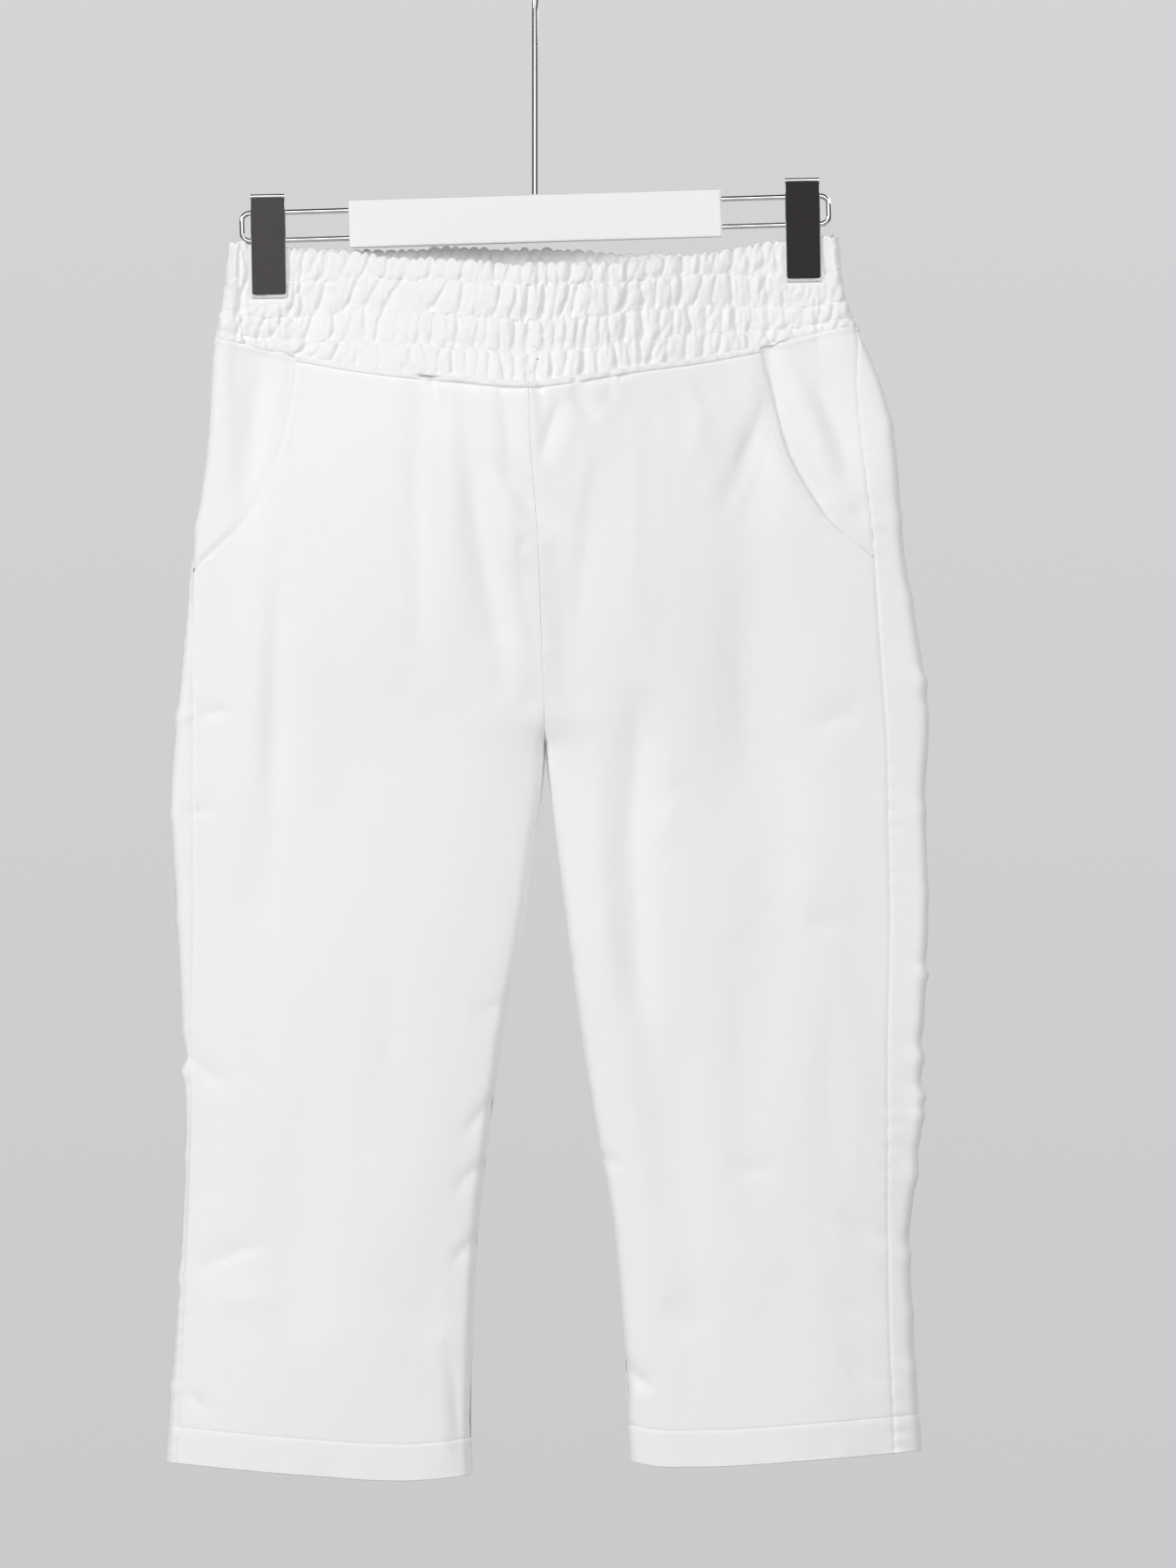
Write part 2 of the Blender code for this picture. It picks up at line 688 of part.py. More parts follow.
def wire_points(side):
    """Out from the block, round the end loop and back, in the bar's own frame."""
    start = side * (BLOCK_LENGTH / 2 + SEAM_GAP)
    reach = side * (WIRE_REACH - WIRE_CORNER)
    half = WIRE_SPACING / 2
    angles = np.linspace(0, math.pi / 2, WIRE_CORNER_STEPS + 1)
    upper = [
        (
            reach + side * WIRE_CORNER * math.sin(angle),
            0.0,
            half - WIRE_CORNER * (1 - math.cos(angle)),
        )
        for angle in angles
    ]
    lower = [(x, y, -z) for x, y, z in reversed(upper)]
    return [(start, 0.0, half), *upper, *lower, (start, 0.0, -half)]


def rounded_outline(width, height, corner, steps=3):
    """Corner points of a rounded rectangle about its centre, counterclockwise."""
    points = []
    for quarter in range(4):
        centre_x = (width / 2 - corner) * (1 if quarter in (0, 3) else -1)
        centre_y = (height / 2 - corner) * (1 if quarter in (0, 1) else -1)
        for step in range(steps + 1):
            angle = (quarter + step / steps) * math.pi / 2
            x = centre_x + corner * math.cos(angle)
            y = centre_y + corner * math.sin(angle)
            points.append((x, y))
    return points


def plate(name, outline, thickness, material, collection):
    """A flat outline, in millimetres, thickened both ways along its own Z."""
    data = bpy.data.curves.new(name, "CURVE")
    data.dimensions = "2D"
    data.fill_mode = "BOTH"
    data.extrude = thickness / 2 * MM
    spline = data.splines.new("POLY")
    spline.points.add(len(outline) - 1)
    spline.use_cyclic_u = True
    for slot, (x, y) in zip(spline.points, outline):
        slot.co = (x * MM, y * MM, 0.0, 1.0)
    data.materials.append(material)
    item = bpy.data.objects.new(name, data)
    collection.objects.link(item)
    return item


def clip_frame_outline(web):
    """A sheet folded over the wires: two jaws hang from a web, seen from the side."""
    outer = CLIP_HALF_GAP + CLIP_SHEET
    corner = CLIP_CORNER
    points = [(-outer, -CLIP_HEIGHT)]
    for step in range(4):
        angle = math.pi - step / 3 * math.pi / 2
        x = -outer + corner + corner * math.cos(angle)
        points.append((x, -corner + corner * math.sin(angle)))
    points += [(-x, y) for x, y in reversed(points)]
    points += [(CLIP_HALF_GAP, -CLIP_HEIGHT), (CLIP_HALF_GAP, -web)]
    points += [(-CLIP_HALF_GAP, -web), (-CLIP_HALF_GAP, -CLIP_HEIGHT)]
    return points


def add_block(bar, material, collection):
    bpy.ops.mesh.primitive_cube_add(size=1.0)
    block = bpy.context.object
    block.name = "hanger_block"
    block.data.name = "hanger_block"
    size = Vector((BLOCK_LENGTH, BLOCK_THICKNESS, BLOCK_HEIGHT)) * MM
    for vertex in block.data.vertices:
        vertex.co = Vector((vertex.co.x * size.x, vertex.co.y * size.y, vertex.co.z * size.z))
    for holder in block.users_collection:
        holder.objects.unlink(block)
    collection.objects.link(block)
    block.data.materials.append(material)
    bevel = block.modifiers.new("rounding", "BEVEL")
    bevel.width = BLOCK_ROUNDING * MM
    bevel.segments = 2
    block.parent = bar
    return block


def add_clip(side, name, materials, collection):
    """A folded metal clip over the wires, with a dark face on each jaw."""
    x = side * CLIP_OFFSET
    top = bar_depth(x) - WIRE_SPACING / 2 - CLIP_RISE
    above_wire = WIRE_RADIUS / math.cos(BAR_TILT) + SEAM_GAP
    web = CLIP_RISE - above_wire - CLIP_WIDTH / 2 * math.tan(BAR_TILT)
    holder = bpy.data.objects.new("clip_place_" + name, None)
    holder.location = (x * MM, 0.0, -top * MM)
    holder.rotation_euler = (0.0, -CLIP_TILT, 0.0)
    collection.objects.link(holder)
    frame = plate(
        "clip_frame_" + name, clip_frame_outline(web), CLIP_WIDTH, materials["chrome"], collection
    )
    frame.rotation_euler = (math.pi / 2, 0.0, math.pi / 2)
    frame.parent = holder
    outer = CLIP_HALF_GAP + CLIP_SHEET
    for facing, word in ((-1, "front"), (1, "back")):
        face = plate(
            f"clip_face_{name}_{word}",
            rounded_outline(FACE_WIDTH, FACE_HEIGHT, FACE_CORNER),
            FACE_THICKNESS,
            materials["dark_face"],
            collection,
        )
        face.rotation_euler = (math.pi / 2, 0.0, 0.0)
        lift = outer + SEAM_GAP + FACE_THICKNESS / 2
        face.location = (0.0, facing * lift * MM, -(CLIP_HEIGHT / 2 + FACE_LIFT) * MM)
        face.parent = holder


def add_hanger(materials, collection):
    tube("hanger_rod", hook_points(), ROD_RADIUS, materials["chrome"], collection)
    bar = bpy.data.objects.new("hanger_bar_place", None)
    bar.location = (BAR_CENTRE_X * MM, 0.0, -BAR_CENTRE_DEPTH * MM)
    bar.rotation_euler = (0.0, -BAR_TILT, 0.0)
    collection.objects.link(bar)
    add_block(bar, materials["white_plastic"], collection)
    for side, name in ((-1, "right"), (1, "left")):
        wire = tube(
            "hanger_wire_" + name, wire_points(side), WIRE_RADIUS, materials["chrome"], collection
        )
        wire.parent = bar
        add_clip(side, name, materials, collection)


# === the whole ===================================================================
def make_material(name, colour, roughness, metallic):
    material = bpy.data.materials.new(name)
    material.use_nodes = True
    shader = material.node_tree.nodes["Principled BSDF"]
    shader.inputs["Base Color"].default_value = colour
    shader.inputs["Roughness"].default_value = roughness
    shader.inputs["Metallic"].default_value = metallic
    return material


def add_trousers(cloth, collection):
    for side, name in ((-1, "right"), (1, "left")):
        panel(
            "front_panel_" + name,
            side,
            FRONT_WAIST_SEAM,
            front_edge_turn,
            FRONT_COLUMNS,
            cloth,
            collection,
        )
        panel(
            "back_panel_" + name,
            side,
            BACK_WAIST_SEAM,
            side_seam_turn,
            BACK_COLUMNS,
            cloth,
            collection,
        )
        pocket_facing("pocket_facing_" + name, side, cloth, collection)
    waistband("waistband_front", 1, cloth, collection)
    waistband("waistband_back", -1, cloth, collection)


def main():
    for item in list(bpy.data.objects):
        bpy.data.objects.remove(item, do_unlink=True)
    collection = bpy.data.collections.new("capri_trousers_on_clip_hanger")
    bpy.context.scene.collection.children.link(collection)
    materials = {name: make_material(name, *look) for name, look in MATERIALS.items()}
    add_trousers(materials["cloth"], collection)
    add_hanger(materials, collection)


main()
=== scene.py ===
"""Looks for the capri trousers that hang from a clip hanger.

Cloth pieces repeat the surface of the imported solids, in millimetres, with finer
folds, gathers, seams and stitches. "x" runs to +X, "depth" is measured down from the
hook's seat, "side" is -1 for the wearer's right half and +1 for the left, and "turn"
is 0 at the outermost fold, 1 at the front's middle and -1 at the back's.
"""

import math
from collections import namedtuple

import bmesh
import bpy
import numpy as np
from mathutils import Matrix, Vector


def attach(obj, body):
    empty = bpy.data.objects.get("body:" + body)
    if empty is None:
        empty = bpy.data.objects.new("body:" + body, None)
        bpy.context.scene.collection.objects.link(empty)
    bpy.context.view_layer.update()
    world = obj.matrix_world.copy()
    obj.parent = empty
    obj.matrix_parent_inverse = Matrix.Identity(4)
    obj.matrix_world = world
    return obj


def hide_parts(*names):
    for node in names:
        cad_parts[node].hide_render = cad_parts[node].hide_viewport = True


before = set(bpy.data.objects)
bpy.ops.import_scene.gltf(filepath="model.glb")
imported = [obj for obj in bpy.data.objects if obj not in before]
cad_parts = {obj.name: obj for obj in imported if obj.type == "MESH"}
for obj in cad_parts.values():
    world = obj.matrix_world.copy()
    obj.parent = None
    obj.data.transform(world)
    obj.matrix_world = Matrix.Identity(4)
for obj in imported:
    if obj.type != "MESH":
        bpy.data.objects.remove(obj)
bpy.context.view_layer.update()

MM = 0.001


def as_rows(kind, *values):
    return [kind(*row) for row in values]


# === the cloth's tables ==========================================================
# They are the solids', but for the front's folds, the crotch and the tighter edges.
SEAM_GAP = 0.3
CROTCH_DEPTH = 526.0
CROTCH_RISE = 22.0
CROTCH_CURVE = 0.5
SPLIT_SPREAD = 180.0
SPLIT_POWER = 2.0
FOLD_HALF = 6.0
FOLD_REACH = 5.5
ROOF_POWER = 0.3

Section = namedtuple(
    "Section",
    "depth right_edge right_seam right_inner left_inner left_seam left_edge "
    "front_half back_half hold",
)
SECTIONS = as_rows(
    Section,
    (198, -194, -194, -1, -1, 194, 194, 24, 20, 1),
    (246, -200, -200, -2, -2, 200.3, 200.3, 28, 24, 1),
    (263, -204, -204, -3, -3, 205.5, 207.5, 30, 26, 0.85),
    (297, -207, -207, -4, -4, 205.5, 222, 32.5, 30, 0.6),
    (330, -209, -209, -3, -3, 208.5, 229.5, 34, 33, 0.35),
    (397, -218, -218, 2, 2, 216, 235.5, 32.5, 36, 0.08),
    (463, -224.5, -219.5, 4.5, 4.5, 220.5, 246, 27, 34, 0),
    (505, -228.5, -218.5, 6, 6, 223.5, 252.5, 22.5, 28, 0),
    (530, -231, -218.5, 6.4, 7, 225, 251.5, 20.5, 24.5, 0),
    (558, -233, -218.5, 4.5, 10, 225.5, 249.5, 19.5, 22.5, 0),
    (586, -232, -218.5, 0, 13.5, 226, 250.5, 19.5, 22, 0),
    (630, -229.5, -218, -6, 19.5, 227, 251.5, 20, 22, 0),
    (718, -225.5, -220, -21, 31.5, 225.5, 248.5, 21, 23, 0),
    (780, -223, -221, -30, 40.5, 225.5, 247, 21, 23, 0),
    (830, -225, -223, -35.5, 49, 225.5, 240.5, 21.5, 23, 0),
    (902, -230, -226, -39.5, 56, 226.5, 242, 22, 23, 0),
    (983, -235.5, -229.5, -41, 60.5, 230, 248, 22, 24, 0),
    (1003, -236.5, -230.5, -41, 61, 230.5, 249, 22, 24, 0),
)

Level = namedtuple("Level", "x depth")
FRONT_TOP = as_rows(
    Level,
    (-195, 206.5), (-170, 209), (-120, 213.5), (-60, 218), (14, 220.7), (90, 216), (170, 204.5),
    (196, 202),
)
BACK_TOP = as_rows(
    Level,
    (-195, 206.5), (-170, 209), (-120, 212), (-60, 210.5), (-10, 210.5), (68, 214.5),
    (110, 214.5), (170, 205), (196, 202),
)
FRONT_WAIST_SEAM = as_rows(
    Level,
    (-205, 267.5), (-156, 277.4), (-110, 285.6), (-73, 289.8), (-48, 291.8), (-24, 294.3),
    (0, 295), (16, 293.3), (48, 288.2), (66, 285.3), (106, 279.7), (142, 272.9), (208, 258.3),
)
BACK_WAIST_SEAM = as_rows(
    Level,
    (-205, 267.5), (-100, 277), (0, 281), (100, 273), (208, 258.5),
)
RIGHT_HEM = as_rows(
    Level,
    (-237, 985), (-204, 988), (-151, 992.5), (-75, 996), (-40, 993),
)
LEFT_HEM = as_rows(
    Level,
    (60, 984), (76, 987), (104, 987.5), (173, 983.5), (249, 977.5),
)

Opening = namedtuple("Opening", "depth x")
RIGHT_POCKET = as_rows(
    Opening,
    (270, -152.5), (294, -154), (316, -158), (337, -163), (352, -168.5), (371, -176), (386, -186),
    (397, -197), (407, -208), (417, -219),
)
LEFT_POCKET = as_rows(
    Opening,
    (262, 141), (278, 145), (295, 149.5), (318, 155.5), (347, 165), (366, 175.5), (384, 188),
    (398, 205), (408, 217),
)

Fold = namedtuple(
    "Fold",
    "face top_depth bottom_depth top_x middle_x bottom_x half_width dip ridge",
)
# The front's folds are shallower than the solids' and lie where its creases run.
FOLDS = as_rows(
    Fold,
    ("front", 385, 640, -158, -162, -174, 11, 1.5, -0.6),
    ("front", 270, 385, -178, -176, -182, 11, 2.4, 0.2),
    ("front", 270, 490, -71, -71, -69, 11, 3.4, 0.4),
    ("front", 290, 500, -50, -33, -17, 10, 3.2, 0.4),
    ("front", 492, 705, 66, 61, 72, 13, 3, -0.5),
    ("front", 630, 930, 60, 86, 110, 13, 2.5, -0.4),
    ("front", 330, 780, 130, 143, 155, 23, 3, 0.2),
    ("front", 296, 380, 150, 138, 120, 9, 2.4, 0.2),
    ("front", 272, 385, 152, 166, 190, 10, 2.5, -0.4),
    ("back", 290, 520, -118, -104, -72, 13, 4, 0.5),
    ("back", 300, 610, 96, 84, 78, 14, 4.5, -0.5),
    ("back", 560, 930, -150, -128, -120, 15, 4, 0.5),
    ("back", 600, 900, 176, 158, 160, 14, 4, -0.5),
)
FOLD_EDGE_FADE = 0.16
FOLD_END_POWER = 0.7
RIDGE_PLACE = 1.7

# Steps for the surface's slopes, and how often a place on it is halved.
TURN_STEP = 0.002
DEPTH_STEP = 0.5
HALVINGS = 30

BAND_PINCH = 3.2
END_LOOP = 1.6
FOLD_ROUNDING = 4.4
BAR_TILT = math.radians(1.74)
BAR_CENTRE_X = 0.3
BAR_CENTRE_DEPTH = 191.0
WIRE_SPACING = 17.8
WIRE_RADIUS = 1.7
CLIP_OFFSET = 170.8
CLIP_TILT = math.radians(1.0)
CLIP_WIDTH = 22.2
CLIP_HEIGHT = 66.3
CLIP_RISE = 11.9
CLIP_SHEET = 0.9
CLIP_HALF_GAP = 3.5
CLIP_FLAT = 14.5
FACE_WIDTH = 21.4
FACE_HEIGHT = 62.2

# === finer creases of the panels, seen from outside ==============================
# A crease runs from (x0, depth0) to (x1, depth1) and bows by "bend" to its left. Its
# dip is negative for a ridge. "lean" makes one flank steeper, and "hold" is where its
# depth lies: "mid" fades at both ends, and "top" is deepest at the first end.
Crease = namedtuple(
    "Crease", "x0 depth0 x1 depth1 bend width dip lean hold", defaults=("mid",)
)
FRONT_CREASES = as_rows(
    Crease,
    # wearer's right hip and leg
    (-175, 288, -177, 372, 2, 5, 1.2, 0.3), (-160, 392, -166, 560, 2, 7, 1.2, 0.3),
    (-180, 276, -184, 400, 2, 10, 2.6, 0.2), (-178, 384, -176, 600, 1, 7.5, -0.9, 0),
    (-152, 392, -149, 620, 0, 12, -0.9, 0), (-179, 600, -170, 760, 0, 15, 1.5, 0.2),
    (-222, 513, -190, 506, -2, 3.4, 1.3, 0.4), (-230, 575, -200, 569, -1, 3, 1, 0.4),
    (-227, 722, -194, 745, 3, 6, 1.7, 0.4), (-221, 868, -168, 846, -4, 6.5, 1.9, 0.4),
    (-214, 886, -158, 884, -5, 9, -1.1, 0), (-176, 790, -150, 912, -6, 20, 2.3, 0.3),
    (-226, 936, -205, 953, 2, 4.2, 1.5, 0.3), (-144, 680, -132, 900, 4, 17, 1.3, 0.2),
    (-100, 560, -92, 800, -3, 18, 1.2, 0.2), (-110, 860, -60, 905, 5, 12, 1.2, 0.2),
    (-20, 750, -46, 780, 3, 5, 1.5, 0.3), (-27, 792, -52, 814, 3, 4.6, 1.4, 0.3),
    (-32, 838, -54, 862, 2, 4.6, 1.4, 0.3), (-56, 905, -48, 995, -3, 8, 2.6, 0.4),
    (-14, 690, -40, 704, 2, 5, 0.9, 0.2),
    # front rise, where the folds run into the crotch
    (-70, 287, -56, 334, -2, 4, 4.6, 0.3, "top"), (-75, 292, -75, 480, 0, 8, 0.9, -0.2),
    (-60, 296, -60, 460, 0, 6.5, -0.8, 0), (-43, 306, -16, 486, 4, 7, 1, 0.3),
    (-18, 292, -15, 362, 0, 7, 2, 0.2), (-30, 344, 11, 394, -3, 8, 3.2, 0.3),
    (-26, 380, -8, 416, -2, 8.5, -1.3, 0), (-11, 396, -6, 404, 0, 3.5, 0.9, 0),
    (-24, 455, -6, 500, -2, 9, -1.4, 0), (3, 298, 8, 350, 0, 4.2, 1.6, 0.3, "top"),
    (22, 300, 40, 321, 0, 4.4, 1.9, 0.3), (17, 304, 3, 346, 0, 4.6, 1.9, 0.3),
    (26, 316, 12, 356, 0, 6, -0.5, 0), (40, 340, 27, 480, 2, 8, 1.5, 0.4),
    (13, 366, 22, 510, 0, 11, 1.8, 0.4), (62, 320, 62, 468, 0, 9, -1, 0),
    (-44, 300, -42, 330, 0, 3.6, 1, 0, "top"), (-22, 300, -16, 335, 0, 3.8, 1.2, 0, "top"),
    (-98, 291, -96, 318, 0, 4.4, 0.8, 0, "top"), (48, 293, 46, 318, 0, 3.6, 0.8, 0, "top"),
    (-10, 400, 2, 470, 3, 5, 1.2, 0.3),
    # wearer's left leg
    (66, 488, 60, 600, -2, 9, 1.6, 0.6), (60, 560, 67, 700, -2, 10, 1.2, 0.7),
    (73, 528, 88, 556, -3, 7, -1, 0), (89, 556, 76, 592, -3, 7, -1, 0),
    (42, 560, 47, 690, 0, 9, -0.9, 0), (90, 700, 110, 890, 2, 11, 1.2, 0.6),
    (130, 420, 137, 560, 0, 12, 1.3, 0.3), (128, 640, 142, 850, 2, 18, 1.8, 0.3),
    (120, 794, 158, 799, 2, 6, 1.2, 0.2), (172, 521, 214, 504, -2, 9, 1.4, 0.3),
    (172, 640, 196, 647, 1, 5, 1.1, 0.3), (166, 606, 182, 636, 2, 9, -1, 0),
    (186, 690, 190, 800, 0, 12, 1.2, 0.2), (197, 826, 224, 848, 2, 5, 1.5, 0.3),
    (186, 872, 222, 898, 3, 5, 1.5, 0.3), (194, 916, 222, 937, 2, 4.2, 1.3, 0.3),
    (56, 918, 76, 940, 2, 5, 2.2, 0.3), (56, 946, 72, 930, -2, 4, 1.2, 0.2),
    (40, 788, 56, 796, 1, 4.2, 1.4, 0.2), (84, 880, 104, 906, 2, 11, 1.6, 0.2),
    (148, 302, 126, 352, -3, 5.5, 1, 0.7), (158, 304, 132, 388, -2, 13, 2.6, 0.8),
    (101, 302, 118, 307, 0, 4, 0.8, 0.2), (108, 306, 96, 350, -2, 9, -1, 0),
    # wearer's left pocket
    (151, 276, 158, 312, 1, 5, 1.9, 0.4, "top"), (164, 272, 204, 366, -6, 12, 4.2, 0.5),
    (181, 266, 182, 292, 0, 3, 1.2, 0, "top"), (200, 376, 214, 382, 0, 5, 0.9, 0.2),
    (170, 372, 198, 372, 4, 7, -0.9, 0),
)
BACK_CREASES = as_rows(
    Crease,
    (-60, 286, -30, 420, 4, 6, 2.2, 0.4, "top"), (52, 284, 26, 430, -4, 6.5, 2.4, 0.4, "top"),
    (-120, 290, -92, 470, 5, 7, 1.8, 0.4), (124, 286, 98, 480, -5, 7, 1.8, 0.4),
    (-30, 395, 0, 500, 4, 9, 2.2, 0.3), (36, 400, 8, 505, -4, 9, 2.2, 0.3),
    (-90, 500, -30, 530, 6, 8, 2.2, 0.3), (92, 496, 36, 530, -6, 8, 2.2, 0.3),
    (-168, 420, -160, 620, 0, 8, 1.4, 0.3), (-150, 640, -118, 900, 5, 12, 1.8, 0.3),
    (-80, 560, -84, 780, 0, 11, 1.7, 0.3), (-205, 690, -160, 720, 3, 6, 1.4, 0.3),
    (-60, 850, -110, 880, 3, 7, 1.6, 0.3), (-196, 900, -150, 935, 3, 6, 1.4, 0.3),
    (96, 560, 92, 760, 0, 11, 1.7, 0.3), (168, 430, 172, 640, 0, 9, 1.5, 0.3),
    (150, 690, 126, 930, -5, 12, 1.8, 0.3), (206, 700, 160, 726, -3, 6, 1.4, 0.3),
    (74, 850, 118, 884, -3, 7, 1.6, 0.3), (206, 884, 160, 916, -3, 6, 1.4, 0.3),
    (-150, 284, -144, 320, 0, 4.5, 1.2, 0, "top"), (-20, 284, -14, 330, 0, 4.5, 1.4, 0, "top"),
    (12, 283, 9, 320, 0, 4.2, 1.1, 0, "top"), (82, 280, 78, 322, 0, 4.4, 1.2, 0, "top"),
    (160, 272, 156, 310, 0, 4.4, 1.1, 0, "top"),
)

# Puckers that cross the outermost fold of a leg, where the side seam draws it in.
Pucker = namedtuple("Pucker", "side depth height size turn spread")
PUCKERS = as_rows(
    Pucker,
    (-1, 388, 7, 1.2, 0, 0.1), (-1, 510, 6, 1.5, 0.04, 0.12), (-1, 572, 5, 1.2, 0.04, 0.1),
    (-1, 640, 8, 0.8, 0, 0.1), (-1, 725, 6, -3, 0, 0.1), (-1, 736, 7, 2.4, 0.02, 0.12),
    (-1, 790, 6, 1, 0, 0.1), (-1, 866, 6, 1.6, 0.04, 0.12), (-1, 938, 6, 1.4, 0.04, 0.12),
    (1, 322, 6, 1.4, 0.06, 0.1), (1, 382, 6, 1.6, 0.08, 0.1), (1, 433, 7, 1.2, 0.04, 0.1),
    (1, 486, 5, 2, 0.08, 0.09), (1, 498, 5, -1.4, 0.06, 0.1), (1, 569, 5, 1.6, 0.08, 0.1),
    (1, 622, 6, 1, 0.04, 0.1), (1, 664, 5, -1.2, 0.06, 0.1), (1, 674, 4, 2.4, 0.08, 0.1),
    (1, 716, 6, -1.6, 0.04, 0.12), (1, 727, 4, 2.4, 0.08, 0.1), (1, 742, 5, -1.4, 0.05, 0.1),
    (1, 752, 4, 3.2, 0.05, 0.12), (1, 764, 5, 2.6, 0.07, 0.1), (1, 786, 6, -1.6, 0.04, 0.12),
    (1, 803, 6, 1.8, 0.04, 0.12), (1, 842, 6, -1, 0.05, 0.1), (1, 853, 5, 1.8, 0.08, 0.1),
    (1, 890, 6, 1.4, 0.06, 0.1), (1, 925, 5, 1.6, 0.08, 0.1),
)


# === reading the tables ==========================================================
def within(t):
    return np.clip(t, 0.0, 1.0)


def smooth(t):
    t = within(t)
    return t * t * (3 - 2 * t)


def bell(t):
    return np.exp(-(t**2))


def by_face(turn, front, back):
    return np.where(turn >= 0, front, back)


Drifting = namedtuple("Drifting", "rate drift drift_rate")


def drifting(at, wave, phases=(0.0, 0.0), across=0.0):
    """A sine wave along a line, which a slower one draws out and pushes together."""
    drift = wave.drift * np.sin(at * wave.drift_rate + phases[0])
    return np.sin(at * wave.rate + across + drift + phases[1])


def read(table, key, name, at):
    """A column's value at a place, on a smooth curve through the table's rows."""
    places = np.array([getattr(row, key) for row in table], float)
    values = np.array([getattr(row, name) for row in table], float)
    slopes = np.gradient(values, places)
    at = np.clip(np.asarray(at, float), places[0], places[-1])
    low = np.clip(np.searchsorted(places, at) - 1, 0, len(places) - 2)
    step = places[low + 1] - places[low]
    t = (at - places[low]) / step
    return (
        (2 * t**3 - 3 * t**2 + 1) * values[low]
        + (t**3 - 2 * t**2 + t) * step * slopes[low]
        + (3 * t**2 - 2 * t**3) * values[low + 1]
        + (t**3 - t**2) * step * slopes[low + 1]
    )


def section(name, depth):
    return read(SECTIONS, "depth", name, depth)


def of_side(side, name, depth):
    right, left = section("right_" + name, depth), section("left_" + name, depth)
    return np.where(side < 0, right, left)


def level(line, x):
    return read(line, "x", "depth", x)


def pocket_of(side):
    return RIGHT_POCKET if side < 0 else LEFT_POCKET


def hem_of(side):
    return RIGHT_HEM if side < 0 else LEFT_HEM


def top_and_seam(front):
    """The lines of the waistband's top and of the seam under it."""
    return (FRONT_TOP, FRONT_WAIST_SEAM) if front else (BACK_TOP, BACK_WAIST_SEAM)


# === the garment's plain surface =================================================
def leg_share(turn, depth):
    """0 where the halves share one hollow, 1 where each leg is its own tube.

    At the middle seam it is the crotch's curve, and away from it the change is slower.
    """
    above = CROTCH_DEPTH - depth
    away = 1 - np.abs(turn)
    rise = (above + np.sqrt(above**2 + (SPLIT_SPREAD * away) ** 2)) / 2
    power = CROTCH_CURVE + (SPLIT_POWER - CROTCH_CURVE) * away
    return 1.0 - np.sin(np.pi / 2 * within(rise / CROTCH_RISE)) ** power


def fold_round(t):
    """Quarter of a round fold, from 0 at its crest to 1 where the cloth leaves it."""
    return np.sqrt(1 - (1 - within(t)) ** 2)


def free_half(span, share, half, width):
    """Half depth of free cloth: a tight fold at each edge and a low roof between."""
    outer = fold_round(span * width / FOLD_REACH)
    inner = fold_round((1 - span) * width / FOLD_REACH)
    fold = FOLD_HALF * outer * (1 - share * (1 - inner))
    roof = (1 - share) * np.sin(np.pi * span / 2)
    roof = roof + share * np.maximum(np.sin(np.pi * span), 0.0) ** ROOF_POWER
    return fold + (half - FOLD_HALF) * roof


def clamped_half(span, half, width):
    """Half depth where the clips hold: flat at the clip, open between the clips."""
    clip = (width - CLIP_OFFSET) / width
    flat = CLIP_FLAT / width
    mouth = smooth((span - clip - flat) / (1 - clip - flat))
    loop = np.sin(np.pi * within(span / (clip - flat))) ** 2
    open_half = BAND_PINCH + (half - BAND_PINCH) * mouth + END_LOOP * loop
    return open_half * fold_round(span * width / FOLD_ROUNDING)


def span_of(turn, depth):
    """Share of the way from the outermost fold to the middle or the inseam."""
    angle = np.abs(turn) * np.pi
    share = leg_share(turn, depth)
    return (1 - share) * (1 - np.cos(angle / 2)) + share * (1 - np.cos(angle)) / 2


def ring_x(side, turn, depth):
    edge = of_side(side, "edge", depth)
    return edge + (of_side(side, "inner", depth) - edge) * span_of(turn, depth)


def fold_dip(face, x, depth):
    """How far a face's large folds sink in at each place."""
    total = np.zeros(np.broadcast(x, depth).shape)
    for fold in FOLDS:
        if fold.face != face:
            continue
        t = (depth - fold.top_depth) / (fold.bottom_depth - fold.top_depth)
        bend = 4 * (fold.middle_x - (fold.top_x + fold.bottom_x) / 2)
        line = fold.top_x + (fold.bottom_x - fold.top_x) * t + bend * t * (1 - t)
        across = (x - line) / fold.half_width
        shape = bell(across) - abs(fold.ridge) * bell(across - RIDGE_PLACE * np.sign(fold.ridge))
        total += fold.dip * shape * np.sin(np.pi * within(t)) ** FOLD_END_POWER
    return total


def ring_half(side, turn, depth):
    half = by_face(turn, section("front_half", depth), section("back_half", depth))
    width = np.abs(of_side(side, "inner", depth) - of_side(side, "edge", depth))
    span = span_of(turn, depth)
    free = free_half(span, leg_share(turn, depth), half, width)
    held = clamped_half(span, half, width)
    hold = within(section("hold", depth))
    return hold * held + (1 - hold) * free


def ring(side, turn, depth):
    """A point of the plain surface, as (x, y, -depth)."""
    x = ring_x(side, turn, depth)
    share = leg_share(turn, depth)
    outer_fade = smooth(np.abs(turn) / FOLD_EDGE_FADE)
    inner_fade = 1 - share * (1 - smooth((1 - np.abs(turn)) / FOLD_EDGE_FADE))
    dip = by_face(turn, fold_dip("front", x, depth), fold_dip("back", x, depth))
    half = ring_half(side, turn, depth) - dip * outer_fade * inner_fade
    y = -by_face(turn, 1.0, -1.0) * half
    return np.stack(np.broadcast_arrays(x, y, -depth), axis=-1)


def unit(vectors):
    return vectors / np.maximum(np.linalg.norm(vectors, axis=-1, keepdims=True), 1e-9)


